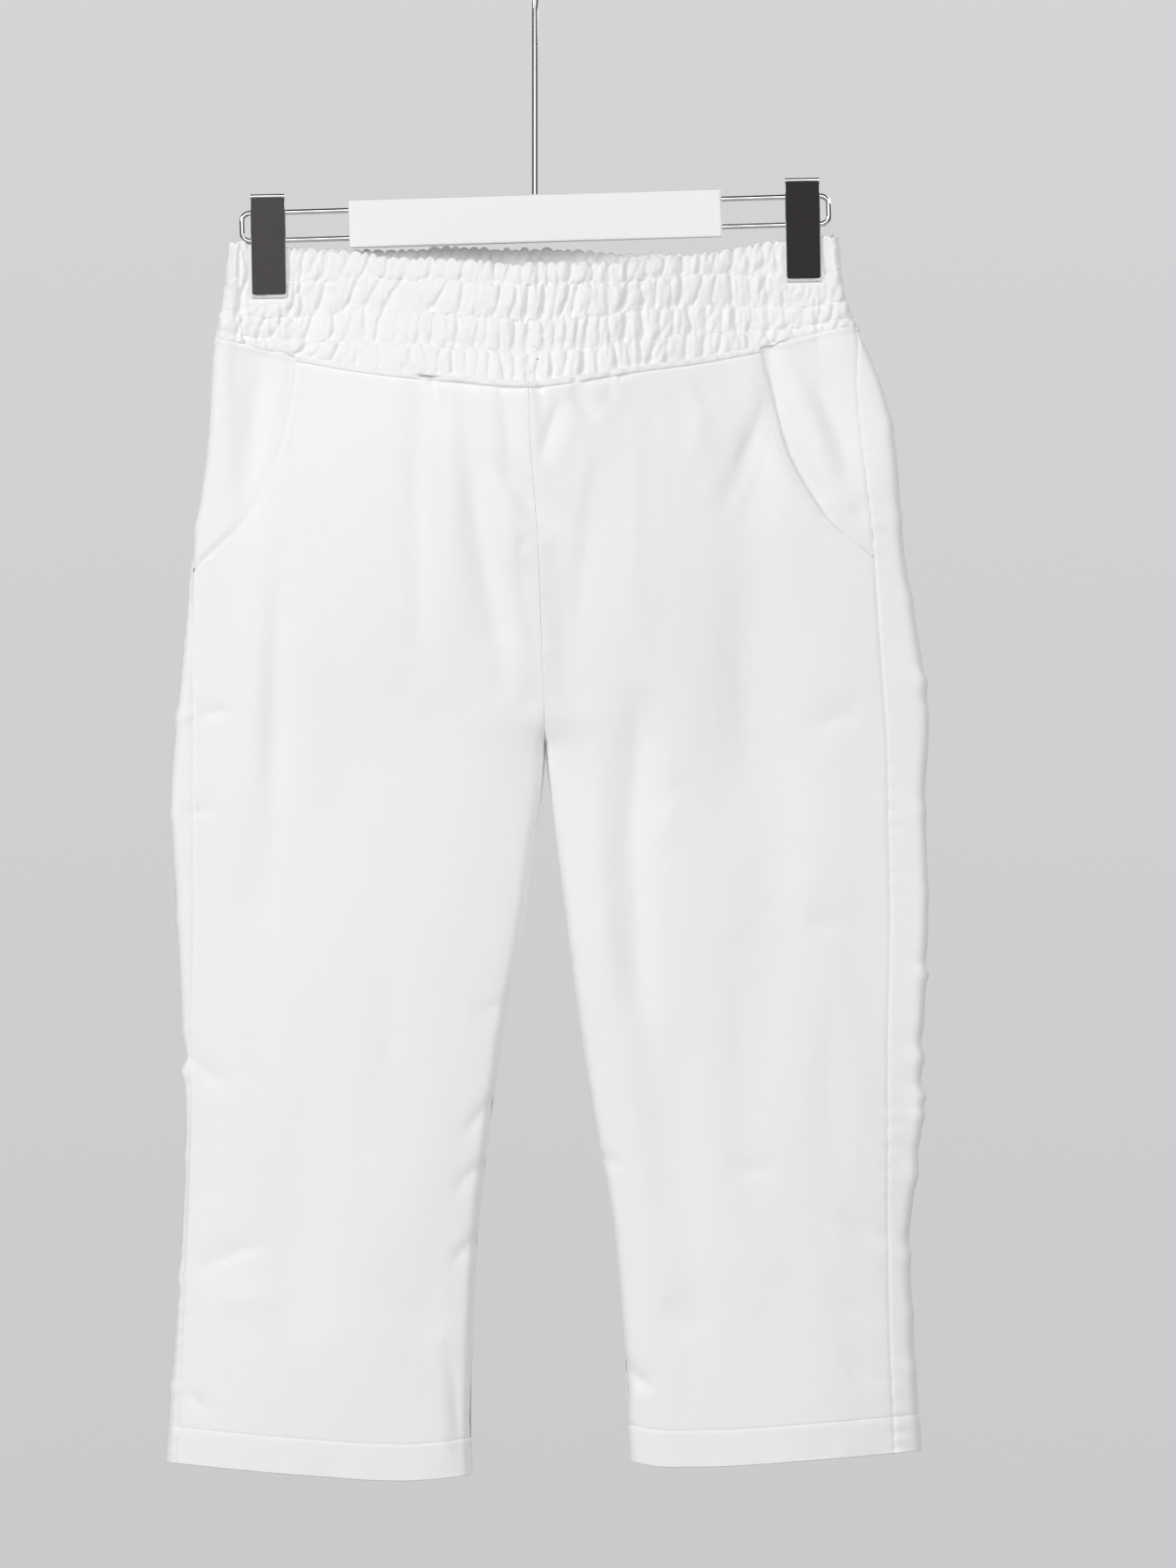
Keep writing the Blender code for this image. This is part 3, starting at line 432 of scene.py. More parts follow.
def lengths_along(points):
    """Running length along each row of points."""
    steps = np.linalg.norm(np.diff(points, axis=1), axis=-1)
    return np.concatenate([np.zeros((len(points), 1)), np.cumsum(steps, axis=1)], 1)


def outward(side, turn, depth):
    """Unit normal of the plain surface, from its own slopes."""
    last = ring(side, np.minimum(turn + TURN_STEP, 1), depth)
    across = last - ring(side, np.maximum(turn - TURN_STEP, -1), depth)
    down = ring(side, turn, depth + DEPTH_STEP) - ring(side, turn, depth - DEPTH_STEP)
    return unit(np.cross(across, down)) * side


def turn_at(side, x, depth):
    """The front turn whose x is the given one, found by halving."""
    low = np.zeros(np.broadcast(x, depth).shape)
    high = np.ones_like(low)
    for _ in range(HALVINGS):
        middle = (low + high) / 2
        outside = side * (ring_x(side, middle, depth) - x) > 0
        low = np.where(outside, middle, low)
        high = np.where(outside, high, middle)
    return (low + high) / 2


def side_seam_turn(side, depth):
    return turn_at(side, of_side(side, "seam", depth), depth)


def front_edge_turn(side, depth):
    pocket = pocket_of(side)
    opening = turn_at(side, read(pocket, "depth", "x", depth), depth)
    seam = side_seam_turn(side, depth)
    return np.where(depth < pocket[-1].depth, np.maximum(opening, seam), seam)


# === relief of the cloth =========================================================
CREASE_POWER = 1.7
CREASE_END_POWER = 0.8
CREASE_RUN_OUT = 1.3
CREASE_HEAD = 14.0
CREASE_LEAN = 0.6
CREASE_EDGE = 0.10
CREASE_EDGE_SHARE = 0.25
CALM_EDGE = 0.2
CALM_SHARE = 0.35

# Low ripple all over the cloth: waves of many directions, each with its own length.
RIPPLE_SEED = 11
RIPPLE_WAVES = 26
RIPPLE_LENGTHS = (34.0, 120.0)
RIPPLE_HEIGHT = 0.40
CRUMPLE_WAVES = 22
CRUMPLE_LENGTHS = (9.0, 20.0)
CRUMPLE_HEIGHT = 0.05
WAVE_DIRECTIONS = (1.0, 0.6, 0.3)


def crease_dip(creases, x, depth):
    """How far the creases of a face sink in at each place."""
    total = np.zeros(x.shape)
    for crease in creases:
        run = np.array([crease.x1 - crease.x0, crease.depth1 - crease.depth0])
        length = np.hypot(*run)
        along = ((x - crease.x0) * run[0] + (depth - crease.depth0) * run[1]) / length**2
        across = ((x - crease.x0) * -run[1] + (depth - crease.depth0) * run[0]) / length
        across = across - crease.bend * 4 * along * (1 - along)
        if crease.hold == "mid":
            strength = np.sin(np.pi * within(along)) ** CREASE_END_POWER
        else:
            strength = np.where(along < 0, 1.0, within(1 - along) ** CREASE_RUN_OUT)
            strength = strength * smooth(1 + along * length / CREASE_HEAD)
        flank = crease.width * (1 - crease.lean * np.sign(across) * CREASE_LEAN)
        total += crease.dip * strength * np.exp(-np.abs(across / flank) ** CREASE_POWER)
    return total


def waves(points, seed, count, lengths, height):
    """A sum of plane waves with fixed random directions."""
    draw = np.random.default_rng(seed)
    total = np.zeros(points.shape[:-1])
    for _ in range(count):
        direction = draw.normal(size=3) * WAVE_DIRECTIONS
        direction /= np.linalg.norm(direction)
        length = draw.uniform(*lengths)
        phase = draw.uniform(0, 2 * np.pi)
        total += np.sin(points @ direction * (2 * np.pi / length) + phase) * length
    return total * height / (np.mean(lengths) * math.sqrt(count / 2))


def pucker_lift(side, turn, depth):
    total = np.zeros(turn.shape)
    for pucker in PUCKERS:
        if pucker.side == side:
            down = bell((depth - pucker.depth) / pucker.height)
            total += pucker.size * down * bell((turn - pucker.turn) / pucker.spread)
    return total


def relief(side, turn, depth, points):
    """How far the cloth stands out of its plain surface."""
    x = points[..., 0]
    front, back = (crease_dip(creases, x, depth) for creases in (FRONT_CREASES, BACK_CREASES))
    lift = -by_face(turn, front, back) * smooth(np.abs(turn) / CREASE_EDGE + CREASE_EDGE_SHARE)
    calm = CALM_SHARE + (1 - CALM_SHARE) * smooth((np.abs(turn)) / CALM_EDGE)
    lift += waves(points, RIPPLE_SEED, RIPPLE_WAVES, RIPPLE_LENGTHS, RIPPLE_HEIGHT) * calm
    lift += waves(points, RIPPLE_SEED + 1, CRUMPLE_WAVES, CRUMPLE_LENGTHS, CRUMPLE_HEIGHT)
    return lift + pucker_lift(side, turn, depth)


def cloth(side, turn, depth, lift=0.0):
    """Points of the finished cloth, with an extra lift out of it."""
    turn, depth, lift = np.broadcast_arrays(turn, depth, lift)
    points = ring(side, turn, depth)
    total = relief(side, turn, depth, points) + lift
    return points + outward(side, turn, depth) * total[..., None]


# === shells ======================================================================
RIM = 0.45
MERGE = 0.004


def add_object(name, data):
    item = bpy.data.objects.new(name, data)
    bpy.context.scene.collection.objects.link(item)
    return item


def strip(first, second):
    count = len(first) - 1
    return [(first[i], first[i + 1], second[i + 1], second[i]) for i in range(count)]


def border(rows, columns):
    """Places of a grid's edge points, once round."""
    top = [(0, c) for c in range(columns)]
    right = [(r, columns - 1) for r in range(1, rows)]
    bottom = [(rows - 1, c) for c in range(columns - 2, -1, -1)]
    left = [(r, 0) for r in range(rows - 2, 0, -1)]
    return top + right + bottom + left


def make_mesh(name, points, faces, material):
    mesh = bpy.data.meshes.new(name)
    mesh.from_pydata((points * MM).tolist(), [], [tuple(map(int, f)) for f in faces])
    work = bmesh.new()
    work.from_mesh(mesh)
    bmesh.ops.remove_doubles(work, verts=work.verts, dist=MERGE * MM)
    bmesh.ops.recalc_face_normals(work, faces=work.faces)
    work.to_mesh(mesh)
    work.free()
    mesh.materials.append(material)
    mesh.shade_smooth()
    return add_object(name, mesh)


def shell(name, outside, inside, material, rim=RIM):
    """A closed sheet between two grids of one size, with a rounded rim."""
    rows, columns = outside.shape[:2]
    numbers = np.arange(rows * columns).reshape(rows, columns)
    size = rows * columns
    faces = []
    for r in range(rows - 1):
        faces += strip(numbers[r], numbers[r + 1])
        faces += strip(numbers[r + 1] + size, numbers[r] + size)
    edge = border(rows, columns)
    rim_points = []
    for r, c in edge:
        inner_r = min(max(r, 1), rows - 2)
        inner_c = min(max(c, 1), columns - 2)
        away = outside[r, c] - outside[inner_r, inner_c]
        away /= max(np.linalg.norm(away), 1e-6)
        thick = np.linalg.norm(outside[r, c] - inside[r, c])
        rim_points.append((outside[r, c] + inside[r, c]) / 2 + away * thick * rim)
    points = np.concatenate([outside.reshape(-1, 3), inside.reshape(-1, 3), rim_points])
    count = len(edge)
    for i in range(count):
        following = (i + 1) % count
        a, b = numbers[edge[i]], numbers[edge[following]]
        m, n = 2 * size + i, 2 * size + following
        faces += [(b, a, m, n), (n, m, a + size, b + size)]
    return make_mesh(name, points, faces, material)


# === lines of stitches ===========================================================
STITCH_LENGTH = 2.5
STITCH_GAP = 1.0
STITCH_RADIUS = 0.19
STITCH_SIDES = 5
STITCH_AIM = 0.4
Station = namedtuple("Station", "share lift thick")
STITCH_STATIONS = as_rows(
    Station, (0.0, -0.12, 0.5), (0.3, 0.10, 1.0), (0.7, 0.10, 1.0), (1.0, -0.12, 0.5)
)


def on_grid(grid, rows, columns):
    """Points between a grid's rows and columns."""
    r = np.clip(np.floor(rows).astype(int), 0, grid.shape[0] - 2)
    c = np.clip(np.floor(columns).astype(int), 0, grid.shape[1] - 2)
    down, across = (rows - r)[:, None], (columns - c)[:, None]
    upper = grid[r, c] * (1 - across) + grid[r, c + 1] * across
    lower = grid[r + 1, c] * (1 - across) + grid[r + 1, c + 1] * across
    return upper * (1 - down) + lower * down


def grid_line(outside, inside, rows, columns):
    """Points of the cloth's face and the ways out of it, along a line of the grid."""
    rows, columns = np.broadcast_arrays(np.asarray(rows, float), np.asarray(columns, float))
    face = on_grid(outside, rows, columns)
    return face, unit(face - on_grid(inside, rows, columns))


def stitch_points(line):
    """Rings of points round each stitch, as stitch x station x side x coordinate."""
    face, out = line
    run = lengths_along(face[None])[0]
    count = max(1, int(run[-1] / (STITCH_LENGTH + STITCH_GAP)))
    starts = (np.arange(count) + 0.5) * run[-1] / count - STITCH_LENGTH / 2

    def at(values, place):
        return np.stack([np.interp(place, run, values[:, k]) for k in range(3)], axis=-1)

    middle = starts + STITCH_LENGTH / 2
    along = unit(at(face, middle + STITCH_AIM) - at(face, middle - STITCH_AIM))
    up = unit(at(out, middle))
    beside = unit(np.cross(along, up))
    angles = (np.arange(STITCH_SIDES) * 2 * np.pi / STITCH_SIDES)[None, :, None]
    round_it = up[:, None, :] * np.cos(angles) + beside[:, None, :] * np.sin(angles)
    rings = []
    for station in STITCH_STATIONS:
        centre = at(face, starts + station.share * STITCH_LENGTH) + up * station.lift
        rings.append(centre[:, None, :] + round_it * STITCH_RADIUS * station.thick)
    return np.stack(rings, axis=1)


def stitches(name, lines, material):
    """One piece that holds the stitches of several lines."""
    points = np.concatenate([stitch_points(line) for line in lines])
    count, stations, sides = points.shape[:3]
    faces = []
    for number in range(count):
        first = number * stations * sides
        for station in range(stations - 1):
            for side in range(sides):
                a = first + station * sides + side
                b = first + station * sides + (side + 1) % sides
                faces.append((a, b, b + sides, a + sides))
        faces.append(tuple(range(first + sides - 1, first - 1, -1)))
        last = first + (stations - 1) * sides
        faces.append(tuple(range(last, last + sides)))
    return make_mesh(name, points.reshape(-1, 3), faces, material)


# === panels ======================================================================
CLOTH = 0.9
HEM_EXTRA = 0.8
HEM_RAMP = 1.2
HEM_HEIGHT = 23.0
HEM_LEVEL = 983.0
EDGE_STEPS = [0.0, 0.35, 0.8, 1.35, 2.0, 2.8]
TOP_STEPS = [0.0, 0.35, 0.8, 1.3, 1.9, 2.5, 3.1, 3.6, 4.0, 4.4, 4.9, 5.6, 6.6, 8.0]
HEM_STEPS = [0.0, 0.35, 0.9, 1.8, 3.4, 5.4, 7.6, 9.8, 12.0, 14.2, 16.4, 18.6]
HEM_STEPS += [20.4, 21.6, 22.2, 22.6, 23.0, 23.4, 23.8, 24.6, 26.0]
SIDE_ROLL = 0.5
MIDDLE_ROLL = 0.04
ROLL_WIDTH = 1.4
PANEL_RIM = 0.22
# The grids are spaced by sampled rows, and settle on their seams in a few passes.
SAMPLES = 181
NARROW_ROW = 24.0
FIRST_TOP = 270.0
FIRST_DROP = 710.0
PASSES = 4
LAST_TURN = 0.9995


def even_turns(side, first, last, depth, columns):
    """Turns spaced evenly along the cloth, and closer at both edges."""
    share = np.linspace(0, 1, SAMPLES)[None, :]
    turn = first[:, None] + (last - first[:, None]) * share
    run = lengths_along(ring(side, turn, np.broadcast_to(depth[:, None], turn.shape)))
    steps = np.array(EDGE_STEPS)
    out = np.empty((len(depth), columns))
    for r, total in enumerate(run[:, -1]):
        edge = steps * min(1.0, total / NARROW_ROW)
        middle = np.linspace(edge[-1], total - edge[-1], columns - 2 * len(steps) + 2)
        place = np.concatenate([edge, middle[1:-1], total - edge[::-1]])
        out[r] = np.interp(place, run[r], turn[r])
    return out


def row_places(length, step):
    """Distances down a panel, closer at its top seam and at its hem."""
    low = length - HEM_STEPS[-1]
    count = round((low - TOP_STEPS[-1]) / step)
    middle = np.linspace(TOP_STEPS[-1], low, count + 1)[1:-1]
    return np.concatenate([TOP_STEPS, middle, length - np.array(HEM_STEPS[::-1])])


def panel_grid(side, seam_line, first, last, columns, step):
    """Turn, depth and distances from the top and the hem, of each grid point."""
    inner_x = of_side(side, "inner", HEM_LEVEL)
    length = float(level(hem_of(side), inner_x) - level(FRONT_WAIST_SEAM, inner_x))
    share = (row_places(length, step) / length)[:, None]
    depth = FIRST_TOP + FIRST_DROP * share + np.zeros((1, columns))
    for _ in range(PASSES):
        start = first(side, depth[:, :1])
        turn = even_turns(side, start[:, 0], last, depth.mean(1), columns)
        turn = start + (turn - turn[:, :1]) * (last - start) / (last - turn[:, :1])
        x = ring_x(side, turn, depth)
        top = level(seam_line, x) + SEAM_GAP / 2
        drop = level(hem_of(side), x) - top
        depth = top + drop * share
    turn[:, -1] = last * LAST_TURN
    return turn, depth, drop * share, drop * (1 - share)


def edge_roll(points):
    """How far each point sinks because the cloth rolls into its seams."""
    run = lengths_along(points)
    back = run[:, -1:] - run
    return -SIDE_ROLL * bell(run / ROLL_WIDTH) - MIDDLE_ROLL * bell(back / ROLL_WIDTH)


# The narrow ridge under the waist seam sags between its gathers and breaks at notches.
# A dip says how deep it is, how far below the seam it lies, and how far it reaches.
RIDGE_HEIGHT = 0.85
RIDGE_DEPTH = 3.7
RIDGE_ONSET = 1.3
RIDGE_RAMP = 0.7
Wobble = namedtuple("Wobble", "size rate phase")
RIDGE_WOBBLES = as_rows(Wobble, (0.22, 0.61, 0.0), (0.16, 1.37, 1.0))
RIDGE_ROW = TOP_STEPS.index(1.9)
POCKET_STITCH = 5.5
POCKET_STITCH_END = 2.0
Dip = namedtuple("Dip", "size below reach")
GROOVE = Dip(0.35, 4.4, 0.7)
SAGGING = Dip(1.05, 5.6, 1.9)
NOTCH = Dip(0.9, 2.0, 3.0)
NOTCH_BREAK = 2.2
NOTCH_WIDTH = 2.0
NOTCHES = (-156.0, -72.0, 26.0, 150.0)
Sag = namedtuple("Sag", "x reach")
SAGS = as_rows(Sag, (-46, 17), (-15, 9), (2, 5), (38, 8), (57, 4))


def ridge_lift(x, below, front):
    """The narrow turned edge under the waist seam."""
    band = smooth((RIDGE_DEPTH + RIDGE_RAMP / 2 - below) / RIDGE_RAMP)
    band = band * smooth((below + RIDGE_RAMP / 2) / RIDGE_ONSET)
    shape = RIDGE_HEIGHT * band - GROOVE.size * bell((below - GROOVE.below) / GROOVE.reach)
    uneven = 1.0
    for wobble in RIDGE_WOBBLES:
        uneven = uneven + wobble.size * np.sin(x * wobble.rate + wobble.phase)
    if front:
        for sag in SAGS:
            near = np.exp(-(((x - sag.x) / sag.reach) ** 4))
            low = bell((below - SAGGING.below) / SAGGING.reach)
            shape = shape - SAGGING.size * near * low
        for notch in NOTCHES:
            shape = shape * (1 - bell((x - notch) / NOTCH_BREAK))
            across, down = (x - notch) / NOTCH_WIDTH, (below - NOTCH.below) / NOTCH.reach
            shape = shape - NOTCH.size * np.exp(-(across**2) - down**2)
    return shape * uneven


HEM_GROOVE = 0.42
HEM_GROOVE_WIDTH = 0.8
HEM_PROUD = 0.32
HEM_PROUD_RAMP = 1.4
HEM_ROPING = 0.17
HEM_ROPING_WIDTH = 7.0
HEM_ROPING_WAVE = Drifting(0.74, 2.0, 0.045)
HEM_ROPING_SLANT = 0.35
HEM_WAVE = 0.3
HEM_WAVE_RATE = 0.16
HEM_WAVE_REACH = 20.0
HEM_WAVE_PHASES = {True: 1.0, False: 2.4}


def hem_lift(x, above, front):
    """The stitched hem: a groove at its stitches and a slightly proud band."""
    past = above - HEM_HEIGHT
    groove = -HEM_GROOVE * bell(past / HEM_GROOVE_WIDTH)
    band = HEM_PROUD * smooth(-past / HEM_PROUD_RAMP)
    roping = HEM_ROPING * drifting(x, HEM_ROPING_WAVE, across=above * HEM_ROPING_SLANT)
    wave = HEM_WAVE * np.sin(x * HEM_WAVE_RATE + HEM_WAVE_PHASES[front])
    wave = wave * smooth(1 - above / HEM_WAVE_REACH)
    return groove + band + roping * bell(past / HEM_ROPING_WIDTH) + wave


# Small ripples across a seam, which fade within a few millimetres of it and swing in
# height between two shares.
RIPPLE_WAVE = Drifting(0.55, 1.6, 0.083)
RIPPLE_SHARE = 0.55
RIPPLE_SWING = 0.45
RIPPLE_SWING_RATE = 0.031
Ripple = namedtuple("Ripple", "phase height reach")
FRONT_SIDE_RIPPLE = Ripple(0.3, 0.25, 6.0)
BACK_SIDE_RIPPLE = Ripple(0.3, 0.6, 9.0)
MIDDLE_RIPPLE = Ripple(1.9, 0.2, 6.0)


def seam_pucker(run, depth, side, ripple):
    phase = ripple.phase + side
    wave = drifting(depth, RIPPLE_WAVE, (phase, phase))
    share = RIPPLE_SHARE + RIPPLE_SWING * np.sin(depth * RIPPLE_SWING_RATE + 2.0 * phase)
    return ripple.height * wave * share * bell(run / ripple.reach)


def panel(name, side, front, material):
    columns, step = (FRONT_COLUMNS, FRONT_STEP) if front else (BACK_COLUMNS, BACK_STEP)
    first, last = (front_edge_turn, 1.0) if front else (side_seam_turn, -1.0)
    seam_line = top_and_seam(front)[1]
    turn, depth, below, above = panel_grid(side, seam_line, first, last, columns, step)
    plain = ring(side, turn, depth)
    x = plain[..., 0]
    run = lengths_along(plain)
    lift = edge_roll(plain)
    lift += ridge_lift(x, below, front) + hem_lift(x, above, front)
    lift += seam_pucker(run, depth, side, FRONT_SIDE_RIPPLE if front else BACK_SIDE_RIPPLE)
    lift += seam_pucker(run[:, -1:] - run, depth, side, MIDDLE_RIPPLE)
    thick = CLOTH + HEM_EXTRA * smooth((HEM_HEIGHT + HEM_RAMP / 2 - above) / HEM_RAMP)
    outside = cloth(side, turn, depth, lift)
    inside = cloth(side, turn, depth, lift - thick)
    every = np.arange(columns)
    hem_row = len(turn) - 1 - HEM_STEPS.index(HEM_HEIGHT)
    lines = [grid_line(outside, inside, row, every) for row in (RIDGE_ROW, hem_row)]
    if front:
        last_depth = pocket_of(side)[-1].depth - POCKET_STITCH_END
        rows = np.flatnonzero(depth[:, 0] < last_depth)
        place = [np.interp(POCKET_STITCH, run[r], every) for r in rows]
        lines.append(grid_line(outside, inside, rows, np.array(place)))
    return shell(name, outside, inside, material, PANEL_RIM), lines


FACING_TOP = 268.0
FACING_SHORT = 1.0
FACING_DROP = 1.5
FACING_DROP_START = 0.5
FACING_RAMP = 7.0
FACING_LAP = 16.0
FACING_LAP_FADE = 20.0
FACING_COLUMNS = 44
FACING_STEP = 1.8


def facing_lap_turn(side, depth):
    """The hidden edge of the facing, under the front panel."""
    opening = front_edge_turn(side, depth)
    room = smooth((pocket_of(side)[-1].depth - depth) / FACING_LAP_FADE)
    at = ring(side, opening + TURN_STEP, depth) - ring(side, opening - TURN_STEP, depth)
    speed = np.linalg.norm(at, axis=-1) / (2 * TURN_STEP)
    return opening + FACING_LAP * room / speed


def facing(name, side, material):
    """The hip piece under the pocket opening, flush at the side seam."""
    pocket_end = pocket_of(side)[-1].depth
    foot = pocket_end - FACING_SHORT
    share = np.linspace(0, 1, int((pocket_end - FACING_TOP) / FACING_STEP))[:, None]
    across = np.linspace(0, 1, FACING_COLUMNS)[None, :]
    depth = FACING_TOP + (foot - FACING_TOP) * share + 0 * across
    for _ in range(PASSES):
        start = side_seam_turn(side, depth[:, :1])
        turn = start + (facing_lap_turn(side, depth[:, -1:]) - start) * across
        top = level(FRONT_WAIST_SEAM, ring_x(side, turn, depth)) + SEAM_GAP / 2
        depth = top + (foot - top) * share
    plain = ring(side, turn, depth)
    x = plain[..., 0]
    short_of_edge = side * (x - ring_x(side, front_edge_turn(side, depth), depth))
    drop = smooth(1 - (short_of_edge - FACING_DROP_START) / FACING_RAMP)
    below = depth - level(FRONT_WAIST_SEAM, x)
    lift = edge_roll(plain) - FACING_DROP * drop
    lift += ridge_lift(x, below, True) * (1 - drop)
    outside = cloth(side, turn, depth, lift)
    inside = cloth(side, turn, depth, lift - CLOTH)
    return shell(name, outside, inside, material)


# === waistband ===================================================================
HALF_BAND = 197.0
BAND_WALL = 3.0
BAND_EDGE = 1.2
BAND_RIM = 0.2
INNER_LEAST = 0.15
INNER_TOP_REACH = 10.0
INNER_FOLLOW = 0.3
INNER_TOP_FOLLOW = 0.6
BAND_TUCK = 0.9
BAND_TUCK_DROP = 0.55
BAND_TUCK_LEVEL = 1.15
BAND_TUCK_SWING = 0.5
BAND_TUCK_WAVE = Drifting(0.19, 1.4, 0.043)
BAND_TUCK_PHASES = (0.8, 0.0)
HOLLOW_X = -8.0
HOLLOW_DEPTH = 3.6
HOLLOW_WIDTH = 48.0
HOLLOW_POWER = 2.2
PUFFS = (0.9, 1.3, 1.2, 1.0)
PUFF_RISE = 1.5
PUFF_FALL = 0.4
FRILL_LEAST = 0.6
ROW_PULL = 0.5
ROW_PULL_REACH = 0.9
SCALLOP = 3.1
SCALLOP_PRESSED = 0.15
END_REACH = 12.0
END_SHARE = 0.6
END_SWELL = 0.8
END_SWELL_LIMITS = (-1.5, 2.0)
BAND_CRUMPLE = 0.4
BAND_CRUMPLE_LEVEL = 0.6
BAND_CRUMPLE_EXTRA = 0.8
BAND_CRUMPLE_SOFTNESS = 0.02
RUMPLED_FROM = 120.0
RUMPLED_RUN = 50.0
BAND_CRUMPLE_WAVES = 24
BAND_CRUMPLE_LENGTHS = (4.2, 13.0)

# How far from a clip's side and foot the gathers start, and where they are free.
CLIP_MARGIN = 0.6
CLIP_FADE = 3.5
CLIP_FOOT_MARGIN = 0.8
CLIP_FOOT_FADE = 2.5

# Stitch rows, as shares of the band's height at its middle and at its ends. Along each
# the elastic draws up tucks, which are short round gathers.
StitchRow = namedtuple("StitchRow", "middle end tuck_height tuck_reach")
STITCH_ROWS = as_rows(
    StitchRow,
    (0.00, 0.00, 1.4, 8.0),
    (0.18, 0.37, 0.7, 3.0),
    (0.47, 0.70, 0.7, 3.0),
    (0.75, 0.90, 0.6, 2.8),
    (1.00, 1.00, 0.3, 2.2),
)
INNER_ROWS = (1, 2, 3)
ROWS_BEND = 0.45
ROWS_BEND_RUN = 0.5
TUCK_SEED = 5
TUCK_COUNT = 110
TUCK_START = -215.0
TUCK_SPACING = (4.2, 8.6)
TUCK_SIZES = (0.45, 1.0)
TUCK_LEVEL = 0.55
TUCK_SLANT = 0.25
TUCK_ROUNDNESS = 0.6
TUCK_FADE_POWER = 1.4

# Rows and puffs vary along x, by small waves with a phase for each row or channel.
Swing = namedtuple("Swing", "size length phase")
ROW_SWINGS = as_rows(Swing, (0.009, 7.0, 1), (0.006, 2.9, 2))
PUFF_SWINGS = as_rows(Swing, (0.2, 8.3, 2), (0.16, 4.1, 1), (0.14, 19.0, 3))

# Pleats of the front in each of the four channels: x at the channel's top, x at its
# foot, and depth. They lie between the stitch rows, as uneven as the elastic left them.
Pleat = namedtuple("Pleat", "top_x foot_x depth")
FRONT_PLEATS = [
    as_rows(
        Pleat,
        (-190, -190, 0.5), (-158, -160, 0.6), (-147, -150, 0.5), (-132, -136, 0.6),
        (-120, -123, 0.5), (-106, -110, 0.9), (-94, -96, 0.5), (-83, -84, 0.6), (-66, -68, 0.7),
        (-55, -57, 0.4), (-44, -48, 0.9), (-35, -36, 0.5), (-26, -26, 0.8), (-17, -19, 0.9),
        (-8, -9, 0.4), (2, 2, 1.0), (8, 9, 0.8), (16, 14, 0.4), (24, 20, 0.9), (37, 35, 0.6),
        (48, 46, 0.5), (60, 58, 0.5), (72, 71, 0.7), (82, 82, 0.8), (94, 93, 0.9),
        (106, 104, 0.6), (115, 114, 0.5), (126, 125, 1.0), (136, 137, 0.7), (145, 146, 0.9),
        (154, 155, 0.8), (188, 186, 0.8),
    ),
    as_rows(
        Pleat,
        (-186, -189, 0.9), (-150, -157, 0.9), (-133, -141, 1.0), (-113, -122, 1.1),
        (-99, -108, 1.1), (-85, -98, 1.1), (-71, -73, 0.4), (-56, -67, 1.1), (-45, -50, 1.0),
        (-36, -38, 0.4), (-20, -28, 0.8), (-12, -15, 0.6), (-5, -6, 1.3), (6, 4, 1.2),
        (15, 12, 0.3), (24, 15, 1.0), (29, 22, 0.8), (37, 33, 0.5), (48, 46, 0.4), (61, 54, 1.1),
        (68, 68, 1.2), (78, 77, 0.7), (87, 86, 0.7), (94, 92, 1.0), (107, 102, 0.8),
        (115, 114, 0.5), (125, 125, 1.1), (137, 137, 0.7), (148, 149, 0.8), (159, 160, 0.8),
        (187, 185, 0.8),
    ),
    as_rows(
        Pleat,
        (-186, -190, 0.8), (-172, -178, 0.8), (-163, -168, 0.8), (-153, -156, 0.6),
        (-143, -146, 0.9), (-127, -131, 1.0), (-118, -119, 0.6), (-108, -110, 1.0),
        (-97, -103, 1.1), (-88, -89, 0.6), (-80, -80, 0.5), (-73, -73, 0.8), (-64, -68, 1.1),
        (-56, -56, 0.6), (-50, -51, 0.9), (-37, -38, 0.7), (-31, -32, 0.6), (-22, -22, 0.5),
        (-13, -14, 1.0), (-5, -5, 1.4), (5, 5, 0.9), (12, 12, 0.7), (19, 19, 0.5), (28, 26, 0.8),
        (34, 32, 0.8), (42, 40, 0.6), (48, 47, 0.7), (57, 57, 1.0), (68, 68, 1.2), (80, 79, 0.7),
        (88, 88, 0.7), (98, 100, 0.9), (110, 109, 0.7), (119, 119, 0.6), (128, 129, 1.0),
        (138, 137, 0.7), (149, 149, 0.7), (160, 160, 0.7), (171, 172, 0.6), (182, 181, 0.7),
        (191, 190, 0.7),
    ),
    as_rows(
        Pleat,
        (-188, -184, 0.8), (-172, -166, 0.6), (-145, -154, 1.1), (-137, -142, 0.7),
        (-125, -129, 0.5), (-112, -114, 0.5), (-100, -98, 0.6), (-87, -82, 0.6), (-79, -77, 0.7),
        (-70, -69, 0.5), (-61, -61, 1.0), (-52, -54, 1.2), (-44, -45, 0.6), (-37, -37, 0.7),
        (-29, -29, 0.6), (-21, -20, 0.6), (-13, -14, 0.7), (-4, -5, 0.9), (2, 1, 0.8),
        (11, 10, 0.9), (20, 19, 0.7), (31, 29, 1.2), (41, 40, 0.7), (50, 53, 0.9), (60, 61, 0.7),
        (68, 67, 1.0), (79, 71, 1.1), (86, 83, 0.7), (96, 97, 0.7), (110, 106, 0.8),
        (119, 116, 0.6), (133, 138, 0.7), (148, 151, 0.9), (163, 168, 0.6), (180, 184, 0.6),
    ),
]
PLEAT_STEEP = 0.95
PLEAT_GENTLE = 2.7
PLEAT_DEPTH = 2.7
PLEAT_MIDDLE = 52.0
PLEAT_MIDDLE_EXTRA = 0.5
PLEAT_WAVER = 0.8
PLEAT_WAVER_RATE = 4
PLEAT_LEAST = 0.3
PLEAT_FOOT = 0.55
PLEAT_FOOT_RUN = 0.45
PLEAT_FOOT_SPREAD = 0.8
PLEAT_FOOT_DEPTH = 0.6
